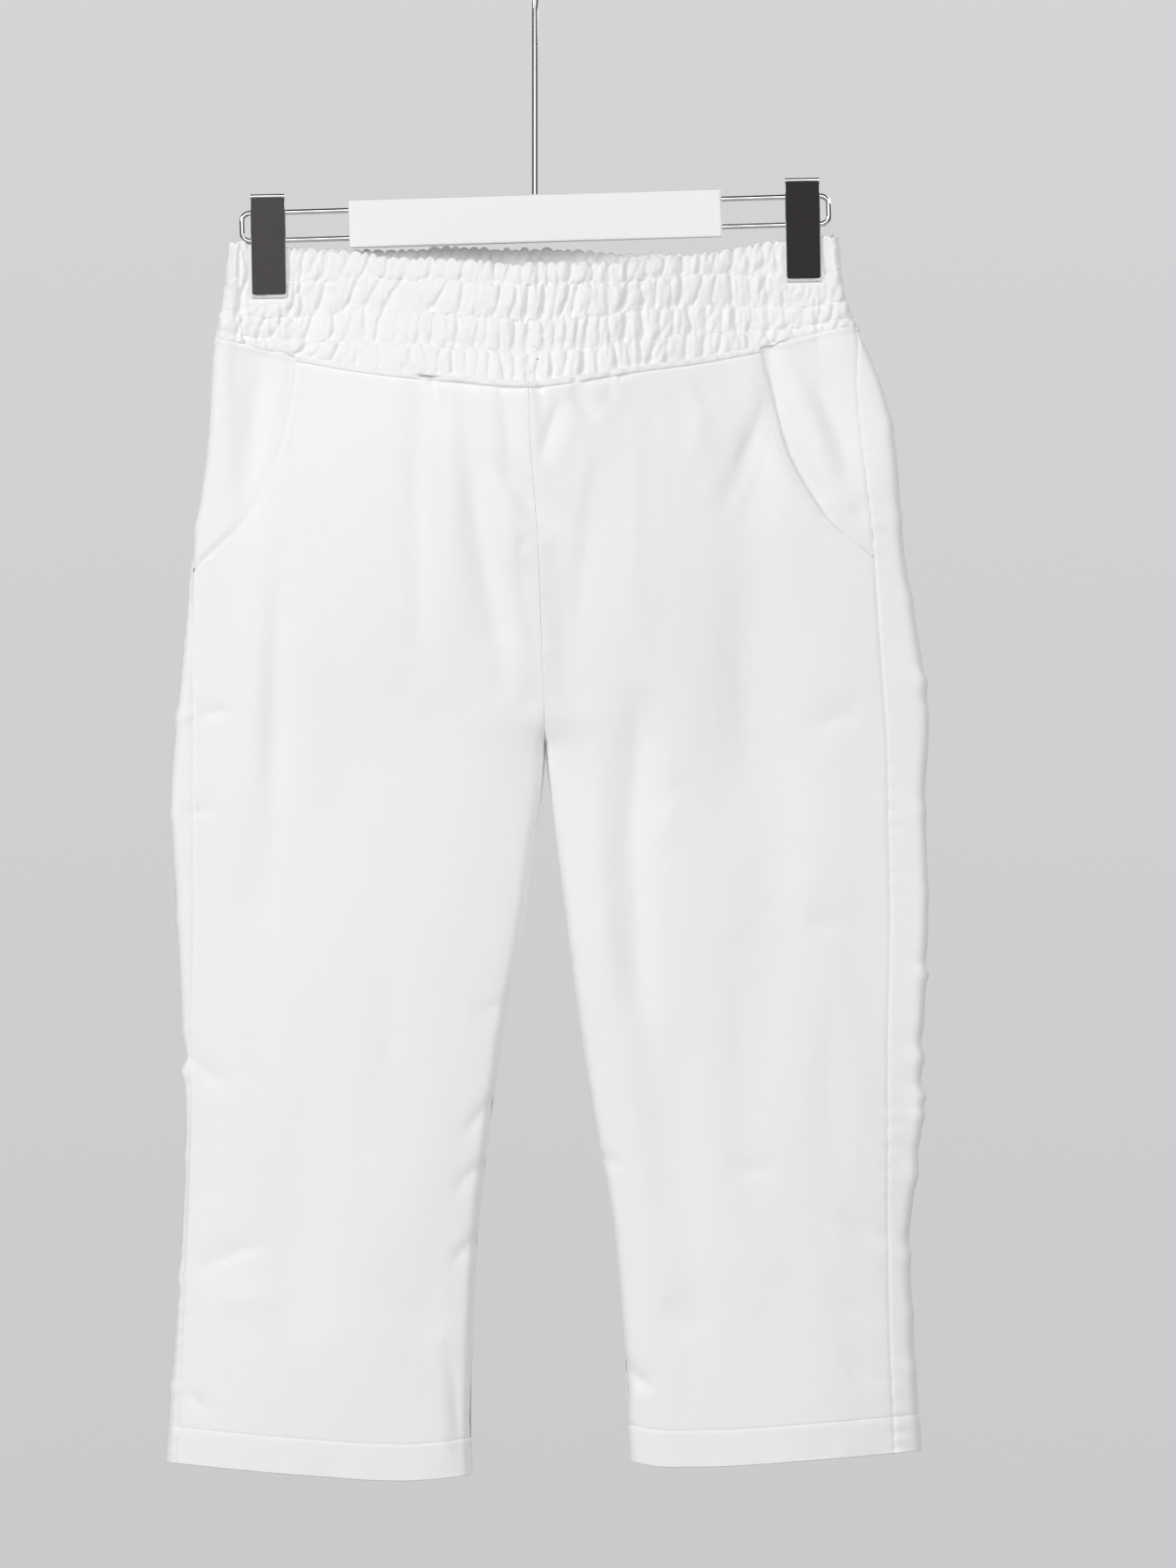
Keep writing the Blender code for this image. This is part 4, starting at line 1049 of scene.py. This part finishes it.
PLEAT_TOP_DEPTH = 0.75
PLEAT_SIZE = 0.7
PLEAT_SIZE_GAIN = 0.5
PLEAT_ROUNDING = 0.02
BACK_PLEAT_SEED = 29
BACK_PLEAT_REACH = 195.0
BACK_PLEAT_COUNTS = (36, 34, 40, 38)
BACK_PLEAT_SHIFT = 0.34
BACK_PLEAT_SLANT = 2.0
BACK_PLEAT_DEPTHS = (0.4, 1.15)


def back_pleats():
    """Pleats of the back band, drawn at uneven places in each channel."""
    draw = np.random.default_rng(BACK_PLEAT_SEED)
    channels = []
    for count in BACK_PLEAT_COUNTS:
        shifts = draw.uniform(-BACK_PLEAT_SHIFT, BACK_PLEAT_SHIFT, count)
        step = 2 * BACK_PLEAT_REACH / count
        places = -BACK_PLEAT_REACH + step * (np.arange(count) + 0.5 + shifts)
        slants = draw.normal(size=count) * BACK_PLEAT_SLANT
        depths = draw.uniform(*BACK_PLEAT_DEPTHS, count)
        channels.append(as_rows(Pleat, *zip(places + slants, places - slants, depths)))
    return channels


def tuck_lines(seed):
    """For each stitch row, where its tucks part and how high each one stands."""
    draw = np.random.default_rng(seed)
    lines = []
    for _ in STITCH_ROWS:
        ends = np.cumsum(draw.uniform(*TUCK_SPACING, TUCK_COUNT)) + TUCK_START
        lines.append((ends, draw.uniform(*TUCK_SIZES, TUCK_COUNT)))
    return lines


def tuck(line, x):
    """0 where two tucks part and up to 1 on their crests."""
    ends, heights = line
    number = np.clip(np.searchsorted(ends, x) - 1, 0, len(ends) - 2)
    t = (x - ends[number]) / (ends[number + 1] - ends[number])
    return within(4 * t * (1 - t)) ** TUCK_ROUNDNESS * heights[number]


def swung(value, swings, x, number):
    for swing in swings:
        value = value + swing.size * np.sin(x / swing.length + swing.phase * number)
    return value


def stitch_rows(x):
    """Shares of the band's height at which its stitch rows lie, for each x."""
    end = smooth((np.abs(x) / HALF_BAND - ROWS_BEND) / ROWS_BEND_RUN)
    shares = [row.middle + (row.end - row.middle) * end for row in STITCH_ROWS]
    for number in INNER_ROWS:
        shares[number] = swung(shares[number], ROW_SWINGS, x, number)
    return shares


def clear_of_clips(x, depth):
    """0 under the clips, where the gathers are pressed flat, and 1 away from them."""
    clip_bottom = bar_depth(x) - CLIP_RISE - WIRE_SPACING / 2 + CLIP_HEIGHT
    beyond = (np.abs(np.abs(x) - CLIP_OFFSET) - CLIP_WIDTH / 2 - CLIP_MARGIN) / CLIP_FADE
    below = (depth - clip_bottom - CLIP_FOOT_MARGIN) / CLIP_FOOT_FADE
    return smooth(np.maximum(beyond, below))


def pleat_dip(pleat, x, c):
    """A folded pleat: steep on one side, gentle on the other, widest at its foot."""
    line = pleat.top_x + (pleat.foot_x - pleat.top_x) * c
    line = line + PLEAT_WAVER * np.sin(PLEAT_WAVER_RATE * c + pleat.top_x)
    foot = smooth((c - PLEAT_FOOT) / PLEAT_FOOT_RUN)
    size = PLEAT_SIZE + PLEAT_SIZE_GAIN * pleat.depth
    flank = np.where(x < line, PLEAT_STEEP * (1 + PLEAT_FOOT_SPREAD * foot), PLEAT_GENTLE)
    across = np.sqrt(((x - line) / (flank * size)) ** 2 + PLEAT_ROUNDING)
    return pleat.depth * (PLEAT_TOP_DEPTH + PLEAT_FOOT_DEPTH * foot) * np.exp(-across)


def band_relief(x, place, height, pleats, tucks):
    """Puffs between the stitch rows, cut by the pleats and drawn up at the rows."""
    rows = stitch_rows(x)
    deep = PLEAT_DEPTH * (1 + PLEAT_MIDDLE_EXTRA * bell(x / PLEAT_MIDDLE))
    total = np.zeros(x.shape)
    for channel, puff in enumerate(PUFFS):
        low, high = rows[channel], rows[channel + 1]
        c = within((place - low) / (high - low))
        rise = 1 - np.exp(-(place - low) * height / PUFF_RISE)
        arch = np.maximum(rise, 0.0) * (1 - c**6) * (1 - PUFF_FALL * c)
        if channel == 0:
            arch = (1 - c**4) * (FRILL_LEAST + (1 - FRILL_LEAST) * c)
        dip = sum(pleat_dip(pleat, x, c) for pleat in pleats[channel])
        body = puff * swung(1, PUFF_SWINGS, x, channel) * arch
        body = body - deep * dip * (PLEAT_LEAST + (1 - PLEAT_LEAST) * (1 - c**8))
        total = np.where((place >= low) & (place <= high), body, total)
    for number, (row, share, line) in enumerate(zip(STITCH_ROWS, rows, tucks)):
        away = np.abs(place - share) * height
        near = np.exp(-((away / row.tuck_reach) ** TUCK_FADE_POWER))
        shape = tuck(line, x + TUCK_SLANT * (place - share) * height) - TUCK_LEVEL
        total += row.tuck_height * shape * near
        if number in INNER_ROWS:
            total -= ROW_PULL * bell(away / ROW_PULL_REACH)
    return total


def band_grid(front, columns, row_count, tucks):
    """x, depth, share down the band and its height at each point."""
    top_line, seam_line = top_and_seam(front)
    u = np.linspace(0, 1, columns)[None, :]
    place = np.linspace(0, 1, row_count)[:, None] + 0 * u
    x = (2 * u - 1) * HALF_BAND + 0 * place
    for _ in range(PASSES):
        scallop = SCALLOP * (tuck(tucks[0], x[:1]) - 0.5) + 0.5 * np.sin(x[:1] / 11.0)
        free = SCALLOP_PRESSED + (1 - SCALLOP_PRESSED) * clear_of_clips(x[:1], 0.0)
        top = level(top_line, x) - scallop * free
        height = level(seam_line, x) + BAND_TUCK - top
        depth = top + height * place
        start = section("right_edge", depth) + SEAM_GAP
        finish = section("left_edge", depth) - SEAM_GAP
        x = start + (finish - start) * u
    return x, depth, place, height


def from_end(x, edge):
    """0 at the band's fold and 1 from END_REACH inwards."""
    return np.minimum(np.abs(x - edge), END_REACH) / END_REACH


def band_bumps(face, grid, edge, pleats, tucks):
    """How far the gathered cloth stands out, pressed flat by the clips and the seam."""
    x, depth, place, height = grid
    points = np.stack([x, 0 * x, -depth], axis=-1)
    bumps = band_relief(x, place, height, pleats, tucks)
    crumple = waves(points, RIPPLE_SEED + 3, BAND_CRUMPLE_WAVES, BAND_CRUMPLE_LENGTHS, 1.0)
    near_end = smooth((np.abs(x) - RUMPLED_FROM) / RUMPLED_RUN)
    rumpled = BAND_CRUMPLE * (1 + BAND_CRUMPLE_EXTRA * near_end)
    bumps += rumpled * (np.sqrt(crumple**2 + BAND_CRUMPLE_SOFTNESS) - BAND_CRUMPLE_LEVEL)
    bumps *= clear_of_clips(x, depth)
    bumps *= END_SHARE + (1 - END_SHARE) * from_end(x, edge)
    tucked = smooth(1.5 - (1 - place) * height / BAND_TUCK)
    tight = drifting(x, BAND_TUCK_WAVE, BAND_TUCK_PHASES)
    tight = BAND_TUCK_LEVEL + BAND_TUCK_SWING * tight
    bumps = bumps * (1 - tucked) - BAND_TUCK_DROP * tight * tucked
    if face > 0:
        sink = np.sin(np.pi * place**HOLLOW_POWER) * bell((x - HOLLOW_X) / HOLLOW_WIDTH)
        bumps -= HOLLOW_DEPTH * sink
    return bumps


def band_points(face, grid, pleats, tucks):
    """Points of the band's outer and inner sides."""
    x, depth, place, height = grid
    middle = section("right_inner", depth)
    side = np.where(x < middle, -1, 1)
    edge = of_side(side, "edge", depth)
    turn = face * np.arccos(1 - within((x - edge) / (middle - edge))) * 2 / np.pi
    plain = ring_half(side, turn, depth)
    bumps = band_bumps(face, grid, edge, pleats, tucks)
    swell = np.sign(x - middle) * np.clip(bumps, *END_SWELL_LIMITS)
    swell = swell * (1 - from_end(x, edge)) * END_SWELL
    outer = np.maximum(plain + bumps, BAND_EDGE)
    near_top = np.exp(-place * height / INNER_TOP_REACH)
    follow = INNER_FOLLOW + INNER_TOP_FOLLOW * near_top
    inner = np.maximum(plain - BAND_WALL + follow * bumps, INNER_LEAST)
    outside = np.stack([x + swell, -face * outer, -depth], axis=-1)
    return outside, np.stack([x, -face * inner, -depth], axis=-1)


def waistband(name, front, columns, row_count, material):
    face = 1 if front else -1
    tucks = tuck_lines(TUCK_SEED + face)
    grid = band_grid(front, columns, row_count, tucks)
    pleats = FRONT_PLEATS if front else back_pleats()
    outside, inside = band_points(face, grid, pleats, tucks)
    shares = stitch_rows(grid[0][row_count // 2])
    every = np.arange(columns)
    lines = [
        grid_line(outside, inside, shares[number] * (row_count - 1), every)
        for number in INNER_ROWS
    ]
    return shell(name, outside, inside, material, BAND_RIM), lines


# === hanger ======================================================================
ROD_RADIUS = 1.9
HOOK_RADIUS = 21.0
HOOK_JOIN_ANGLE = math.radians(-55)
HOOK_END_ANGLE = math.radians(205)
NECK_DEPTH = 58.0
NECK_HANDLE = 12.0
BLOCK_LENGTH = 238.0
BLOCK_HEIGHT = 30.6
WIRE_REACH = 187.5
WIRE_CORNER = 5.0
CLIP_CORNER = 1.4
FACE_THICKNESS = 0.8
FACE_LIFT = 0.1
FACE_CORNER = 1.6
FACE_BEVEL = 0.3
SHEET_BEVEL = 0.2


def bar_depth(x):
    return BAR_CENTRE_DEPTH - (x - BAR_CENTRE_X) * math.tan(BAR_TILT)


def on_bar(points):
    """Moves points from the tilted bar's frame to the object's."""
    cos, sin = math.cos(BAR_TILT), math.sin(BAR_TILT)
    x, y, z = np.array(points).T
    return np.stack([BAR_CENTRE_X + x * cos - z * sin, y, x * sin + z * cos - BAR_CENTRE_DEPTH], 1)


def curve_object(name, points, material, closed=False, **settings):
    """A curve of straight steps through points in millimetres."""
    data = bpy.data.curves.new(name, "CURVE")
    for key, value in settings.items():
        setattr(data, key, value)
    spline = data.splines.new("POLY")
    spline.points.add(len(points) - 1)
    spline.use_cyclic_u = closed
    for slot, point in zip(spline.points, points):
        slot.co = (*(np.array(point) * MM), 1.0)
    data.materials.append(material)
    return add_object(name, data)


def tube(name, points, radius, material):
    """A round wire with closed ends."""
    settings = {"bevel_depth": radius * MM, "bevel_resolution": 5, "use_fill_caps": True}
    return curve_object(name, points, material, dimensions="3D", **settings)


def plate(name, outline, thickness, bevel, material):
    """A flat outline thickened both ways along its own Z, with rounded edges."""
    points = [(x, y, 0.0) for x, y in outline]
    solid = {"fill_mode": "BOTH", "extrude": (thickness / 2 - bevel) * MM}
    edge = {"bevel_depth": bevel * MM, "bevel_resolution": 2, "offset": -bevel * MM}
    return curve_object(name, points, material, True, dimensions="2D", **solid, **edge)


def hook_points():
    """Up the rod, out through the neck and round the hook."""
    centre = np.array([0.0, 0.0, ROD_RADIUS - HOOK_RADIUS])

    def on_hook(angle):
        return centre + HOOK_RADIUS * np.array([math.cos(angle), 0.0, math.sin(angle)])

    join = on_hook(HOOK_JOIN_ANGLE)
    heading = np.array([-math.sin(HOOK_JOIN_ANGLE), 0.0, math.cos(HOOK_JOIN_ANGLE)])
    block_top = bar_depth(0.0) - BLOCK_HEIGHT / 2 / math.cos(BAR_TILT)
    foot = np.array([0.0, 0.0, -block_top + SEAM_GAP])
    neck = np.array([0.0, 0.0, -NECK_DEPTH])
    handle = neck + np.array([0.0, 0.0, NECK_HANDLE])
    other = join - heading * NECK_HANDLE
    t = np.linspace(0, 1, 25)[:, None]
    bend = (1 - t) ** 3 * neck + 3 * (1 - t) ** 2 * t * handle
    bend = bend + 3 * (1 - t) * t**2 * other + t**3 * join
    angles = np.linspace(HOOK_JOIN_ANGLE, HOOK_END_ANGLE, 73)[1:]
    return [foot, *bend, *[on_hook(angle) for angle in angles]]


def wire_points(side):
    """Out from the block, round the end loop and back."""
    start = side * (BLOCK_LENGTH / 2 + SEAM_GAP)
    reach = side * (WIRE_REACH - WIRE_CORNER)
    half = WIRE_SPACING / 2
    upper = []
    for angle in np.linspace(0, math.pi / 2, 15):
        out = side * WIRE_CORNER * math.sin(angle)
        upper.append((reach + out, 0.0, half - WIRE_CORNER * (1 - math.cos(angle))))
    lower = [(x, y, -z) for x, y, z in reversed(upper)]
    return on_bar([(start, 0.0, half), *upper, *lower, (start, 0.0, -half)])


def rounded_outline(width, height, corner, steps=8):
    points = []
    for quarter in range(4):
        centre_x = (width / 2 - corner) * (1 if quarter in (0, 3) else -1)
        centre_y = (height / 2 - corner) * (1 if quarter in (0, 1) else -1)
        for step in range(steps + 1):
            angle = (quarter + step / steps) * math.pi / 2
            x = centre_x + corner * math.cos(angle)
            points.append((x, centre_y + corner * math.sin(angle)))
    return points


def clip_outline(web):
    """A sheet folded over the wires: two jaws hang from a web, seen from the side."""
    outer = CLIP_HALF_GAP + CLIP_SHEET
    points = [(-outer, -CLIP_HEIGHT)]
    for step in range(9):
        angle = math.pi - step / 8 * math.pi / 2
        x = -outer + CLIP_CORNER + CLIP_CORNER * math.cos(angle)
        points.append((x, -CLIP_CORNER + CLIP_CORNER * math.sin(angle)))
    points += [(-x, y) for x, y in reversed(points)]
    points += [(CLIP_HALF_GAP, -CLIP_HEIGHT), (CLIP_HALF_GAP, -web)]
    points += [(-CLIP_HALF_GAP, -web), (-CLIP_HALF_GAP, -CLIP_HEIGHT)]
    return points


def add_clip(side, word, chrome, dark):
    """A folded chrome clip with a dark plate on each jaw, as pieces, nodes and slots."""
    x = side * CLIP_OFFSET
    top = bar_depth(x) - WIRE_SPACING / 2 - CLIP_RISE
    above_wire = WIRE_RADIUS / math.cos(BAR_TILT) + SEAM_GAP
    web = CLIP_RISE - above_wire - CLIP_WIDTH / 2 * math.tan(BAR_TILT)
    holder = add_object("clip_place_" + word, None)
    holder.location = (x * MM, 0.0, -top * MM)
    holder.rotation_euler = (0.0, -CLIP_TILT, 0.0)
    sheet = plate("clip_sheet_" + word, clip_outline(web), CLIP_WIDTH, SHEET_BEVEL, chrome)
    sheet.rotation_euler = (math.pi / 2, 0.0, math.pi / 2)
    sheet.parent = holder
    pieces = [(sheet, "clip_frame_" + word, "chrome")]
    lift = CLIP_HALF_GAP + CLIP_SHEET + SEAM_GAP + FACE_THICKNESS / 2
    for toward, name in ((-1, "front"), (1, "back")):
        outline = rounded_outline(FACE_WIDTH, FACE_HEIGHT, FACE_CORNER)
        face = plate(f"clip_plate_{word}_{name}", outline, FACE_THICKNESS, FACE_BEVEL, dark)
        face.rotation_euler = (math.pi / 2, 0.0, 0.0)
        face.location = (0.0, toward * lift * MM, -(CLIP_HEIGHT / 2 + FACE_LIFT) * MM)
        face.parent = holder
        pieces.append((face, f"clip_face_{word}_{name}", "clip_face"))
    return pieces


# === materials ===================================================================
WEAVE_PITCH = 0.00056

# A bump without a scale is the weave, and the others are noise. Each lies on the one
# before it. "varied" is the noise that the roughness follows, between two values.
Bump = namedtuple("Bump", "scale detail strength distance")
Varied = namedtuple("Varied", "scale low high")
Look = namedtuple("Look", "name colour roughness varied bumps others")
WEAVE, SLUB = Bump(None, None, 0.12, 0.00006), Bump(420.0, 2.0, 0.10, 0.0003)
WRINKLE = Bump(60.0, 4.0, 0.12, 0.0012)
SATIN = {"Specular IOR Level": 0.35}
LOOKS = as_rows(
    Look,
    (
        "white_poplin", (0.90, 0.90, 0.905), 0.62, Varied(35.0, 0.55, 0.70),
        [WEAVE, SLUB, WRINKLE], {**SATIN, "Sheen Weight": 0.12, "Sheen Roughness": 0.45},
    ),
    (
        "white_thread", (0.92, 0.92, 0.925), 0.5, None,
        [Bump(2600.0, 2.0, 0.3, 0.0001)], {"Sheen Weight": 0.2},
    ),
    ("chrome", (0.80, 0.80, 0.815), 0.08, Varied(90.0, 0.06, 0.09), [], {"Metallic": 1.0}),
    (
        "white_block", (0.90, 0.90, 0.905), 0.42, Varied(40.0, 0.36, 0.48),
        [Bump(900.0, 2.0, 0.06, 0.0001)], {},
    ),
    # Both clip plates are one black plastic. This copy is lighter because a reflection of the
    # softbox at the left is painted into its colour.
    ("grey_plate", (0.052, 0.046, 0.052), 0.28, Varied(60.0, 0.22, 0.34), [], SATIN),
    ("black_plate", (0.008, 0.004, 0.006), 0.28, Varied(60.0, 0.22, 0.34), [], SATIN),
    (
        "floor", (0.62, 0.62, 0.63), 0.9, Varied(4.0, 0.85, 0.95),
        [Bump(160.0, 2.0, 0.05, 0.001)], {},
    ),
)


def add_node(tree, kind, inputs, **settings):
    """A shader node whose inputs take a value or another node's output."""
    node = tree.nodes.new("ShaderNode" + kind)
    for name, value in settings.items():
        setattr(node, name, value)
    for name, value in inputs.items():
        if isinstance(value, bpy.types.NodeSocket):
            tree.links.new(value, node.inputs[name])
        else:
            node.inputs[name].default_value = value
    return node


def coordinates(tree, kind):
    return add_node(tree, "TexCoord", {}).outputs[kind]


def noise(tree, scale, detail=2.0):
    inputs = {"Scale": scale, "Detail": detail, "Vector": coordinates(tree, "Object")}
    return add_node(tree, "TexNoise", inputs).outputs["Fac"]


def weave_height(tree):
    """Plain weave: warp down the cloth and weft across it, one over the other."""
    split = add_node(tree, "SeparateXYZ", {0: coordinates(tree, "Object")}).outputs

    def math_node(kind, *values):
        return add_node(tree, "Math", dict(enumerate(values)), operation=kind).outputs[0]

    def threads(across):
        return math_node("SINE", math_node("MULTIPLY", across, 2 * math.pi / WEAVE_PITCH))

    around = math_node("ADD", split["X"], split["Y"])
    return math_node("MULTIPLY", threads(around), threads(split["Z"]))


def new_material(name):
    """The material of the look that has this name."""
    look = next(row for row in LOOKS if row.name == name)
    material = bpy.data.materials.new(name)
    material.use_nodes = True
    tree = material.node_tree
    shader = tree.nodes["Principled BSDF"].inputs
    values = {"Base Color": (*look.colour, 1.0), "Roughness": look.roughness, **look.others}
    for key, value in values.items():
        shader[key].default_value = value
    under = {}
    for item in look.bumps:
        height = noise(tree, item.scale, item.detail) if item.scale else weave_height(tree)
        inputs = {"Strength": item.strength, "Distance": item.distance, "Height": height}
        under = {"Normal": add_node(tree, "Bump", {**inputs, **under}).outputs["Normal"]}
        tree.links.new(under["Normal"], shader["Normal"])
    if look.varied:
        factor = noise(tree, look.varied.scale)
        inputs = {"To Min": look.varied.low, "To Max": look.varied.high, "Value": factor}
        tree.links.new(add_node(tree, "MapRange", inputs).outputs["Result"], shader["Roughness"])
    return material


# === stage =======================================================================
CAMERA_DISTANCE = 9.0
CAMERA_DEPTH = 0.407
CAMERA_REACH = 60.0
FRAME_CENTRE = (0.034, 0.552)
FRAME_HEIGHT = 1.0
GARMENT_PLANE = -0.02
SENSOR = 36.0
FLOOR_LEVEL = -1.6
FLOOR_RADIUS = 2.4
FLOOR_SIDES = 96

Light = namedtuple("Light", "name place target size power")
LIGHTS = as_rows(
    Light,
    ("front_light", (-0.2, -4.4, 1.7), (0.0, 0.0, -0.60), (4.0, 2.6), 74.0),
    ("key_light", (-3.2, -2.6, 1.0), (0.0, 0.0, -0.65), (1.6, 1.6), 93.0),
    ("fill_light", (3.2, -2.2, 1.0), (0.0, 0.0, -0.65), (1.6, 1.6), 41.0),
    ("strip_light", (0.0, -6.0, -0.2), (0.0, 0.0, -0.2), (9.0, 0.8), 22.0),
    ("back_light", (2.4, 3.0, 1.0), (0.0, 0.0, -0.55), (2.0, 2.0), 50.0),
)

# The studio's brightness from straight down to straight up.
SKY = [
    (0.00, (0.10, 0.10, 0.10)),
    (0.20, (0.20, 0.20, 0.20)),
    (0.38, (0.52, 0.52, 0.53)),
    (0.464, (0.592, 0.590, 0.606)),
    (0.520, (0.664, 0.664, 0.678)),
    (0.61, (0.56, 0.56, 0.57)),
    (0.80, (0.14, 0.14, 0.14)),
    (1.00, (0.06, 0.06, 0.06)),
]
FRONT_DARKNESS = 0.5
FRONT_RANGE = {"From Min": -0.25, "From Max": 0.75, "To Min": FRONT_DARKNESS}
SIDE_DARKNESS = 0.2
SIDE_RANGE = {"From Min": 0.5, "From Max": 0.9, "To Min": 1.0, "To Max": SIDE_DARKNESS}


def add_camera():
    data = bpy.data.cameras.new("camera")
    data.sensor_width = SENSOR
    data.lens = SENSOR * CAMERA_DISTANCE / FRAME_HEIGHT
    data.shift_y = -(FRAME_CENTRE[1] - CAMERA_DEPTH) / FRAME_HEIGHT
    data.clip_end = CAMERA_REACH
    camera = add_object("camera", data)
    camera.location = (FRAME_CENTRE[0], GARMENT_PLANE - CAMERA_DISTANCE, -CAMERA_DEPTH)
    camera.rotation_euler = (math.pi / 2, 0.0, 0.0)
    bpy.context.scene.camera = camera


def add_lights():
    """Softboxes that light and are reflected, but aren't seen themselves."""
    for light in LIGHTS:
        data = bpy.data.lights.new(light.name, "AREA")
        data.shape = "RECTANGLE"
        data.size, data.size_y = light.size
        data.energy = light.power
        item = add_object(light.name, data)
        item.location = light.place
        aim = Vector(light.target) - Vector(light.place)
        item.rotation_euler = aim.to_track_quat("-Z", "Y").to_euler()
        item.visible_camera = False


def add_sky():
    """A world that follows SKY by height, and is darker in front and at the sides."""
    world = bpy.data.worlds.new("studio")
    bpy.context.scene.world = world
    world.use_nodes = True
    tree = world.node_tree
    background = tree.nodes["Background"].inputs
    split = add_node(tree, "SeparateXYZ", {0: coordinates(tree, "Generated")}).outputs
    height = add_node(tree, "MapRange", {"From Min": -1.0, "Value": split["Z"]})
    ramp = add_node(tree, "ValToRGB", {"Fac": height.outputs["Result"]})
    while len(ramp.color_ramp.elements) < len(SKY):
        ramp.color_ramp.elements.new(0.5)
    for element, (at, colour) in zip(ramp.color_ramp.elements, SKY):
        element.position = at
        element.color = (*colour, 1.0)
    tree.links.new(ramp.outputs["Color"], background["Color"])
    sideways = add_node(tree, "Math", {0: split["X"]}, operation="ABSOLUTE").outputs[0]
    shares = []
    for value, limits in ((split["Y"], FRONT_RANGE), (sideways, SIDE_RANGE)):
        inputs = {"Value": value, **limits}
        spread = add_node(tree, "MapRange", inputs, interpolation_type="SMOOTHSTEP")
        shares.append(spread.outputs["Result"])
    strength = add_node(tree, "Math", dict(enumerate(shares)), operation="MULTIPLY")
    tree.links.new(strength.outputs[0], background["Strength"])


def add_floor():
    mesh = bpy.data.meshes.new("floor")
    work = bmesh.new()
    bmesh.ops.create_circle(work, cap_ends=True, segments=FLOOR_SIDES, radius=FLOOR_RADIUS)
    work.to_mesh(mesh)
    work.free()
    mesh.materials.append(new_material("floor"))
    floor = add_object("floor", mesh)
    floor.location = (0.0, 0.0, FLOOR_LEVEL)


# === the whole ===================================================================
FRONT_COLUMNS = 122
FRONT_STEP = 2.2
BACK_COLUMNS = 92
BACK_STEP = 3.3
BAND_GRIDS = {"front": (530, 84), "back": (430, 62)}

# Width and length of each cut piece in metres, and its area where it isn't a rectangle.
Cut = namedtuple("Cut", "width length area")
SIDES = ((-1, "right"), (1, "left"))


def add_piece(piece, node):
    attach(piece, "root")
    if node:
        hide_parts(node)


def add_cloth():
    poplin, thread = new_material("white_poplin"), new_material("white_thread")
    sewn = {"front": [], "back": []}
    for side, word in SIDES:
        for face in ("front", "back"):
            piece, lines = panel(f"{face}_{word}_cloth", side, face == "front", poplin)
            add_piece(piece, f"{face}_panel_{word}")
            sewn[face] += lines
        piece = facing(f"facing_{word}_cloth", side, poplin)
        add_piece(piece, f"pocket_facing_{word}")
    for face, (columns, rows) in BAND_GRIDS.items():
        piece, lines = waistband(f"waistband_{face}_cloth", face == "front", columns, rows, poplin)
        add_piece(piece, f"waistband_{face}")
        seams = stitches(f"{face}_stitches", sewn[face] + lines, thread)
        add_piece(seams, None)


def add_hanger():
    chrome = new_material("chrome")
    # The clip on the wearer's right, at the left of the view, takes the plate with the painted
    # reflection of the left softbox.
    plates = {"right": new_material("grey_plate"), "left": new_material("black_plate")}
    add_piece(tube("chrome_rod", hook_points(), ROD_RADIUS, chrome), "hanger_rod")
    for side, word in SIDES:
        wire = tube("chrome_wire_" + word, wire_points(side), WIRE_RADIUS, chrome)
        add_piece(wire, "hanger_wire_" + word)
        for piece, node, slot in add_clip(side, word, chrome, plates[word]):
            add_piece(piece, node)
    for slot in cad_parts["hanger_block"].material_slots:
        slot.material = new_material("white_block")


add_camera()
add_cloth()
add_hanger()
add_sky()
add_floor()
add_lights()
bpy.context.scene.view_settings.view_transform = "Standard"
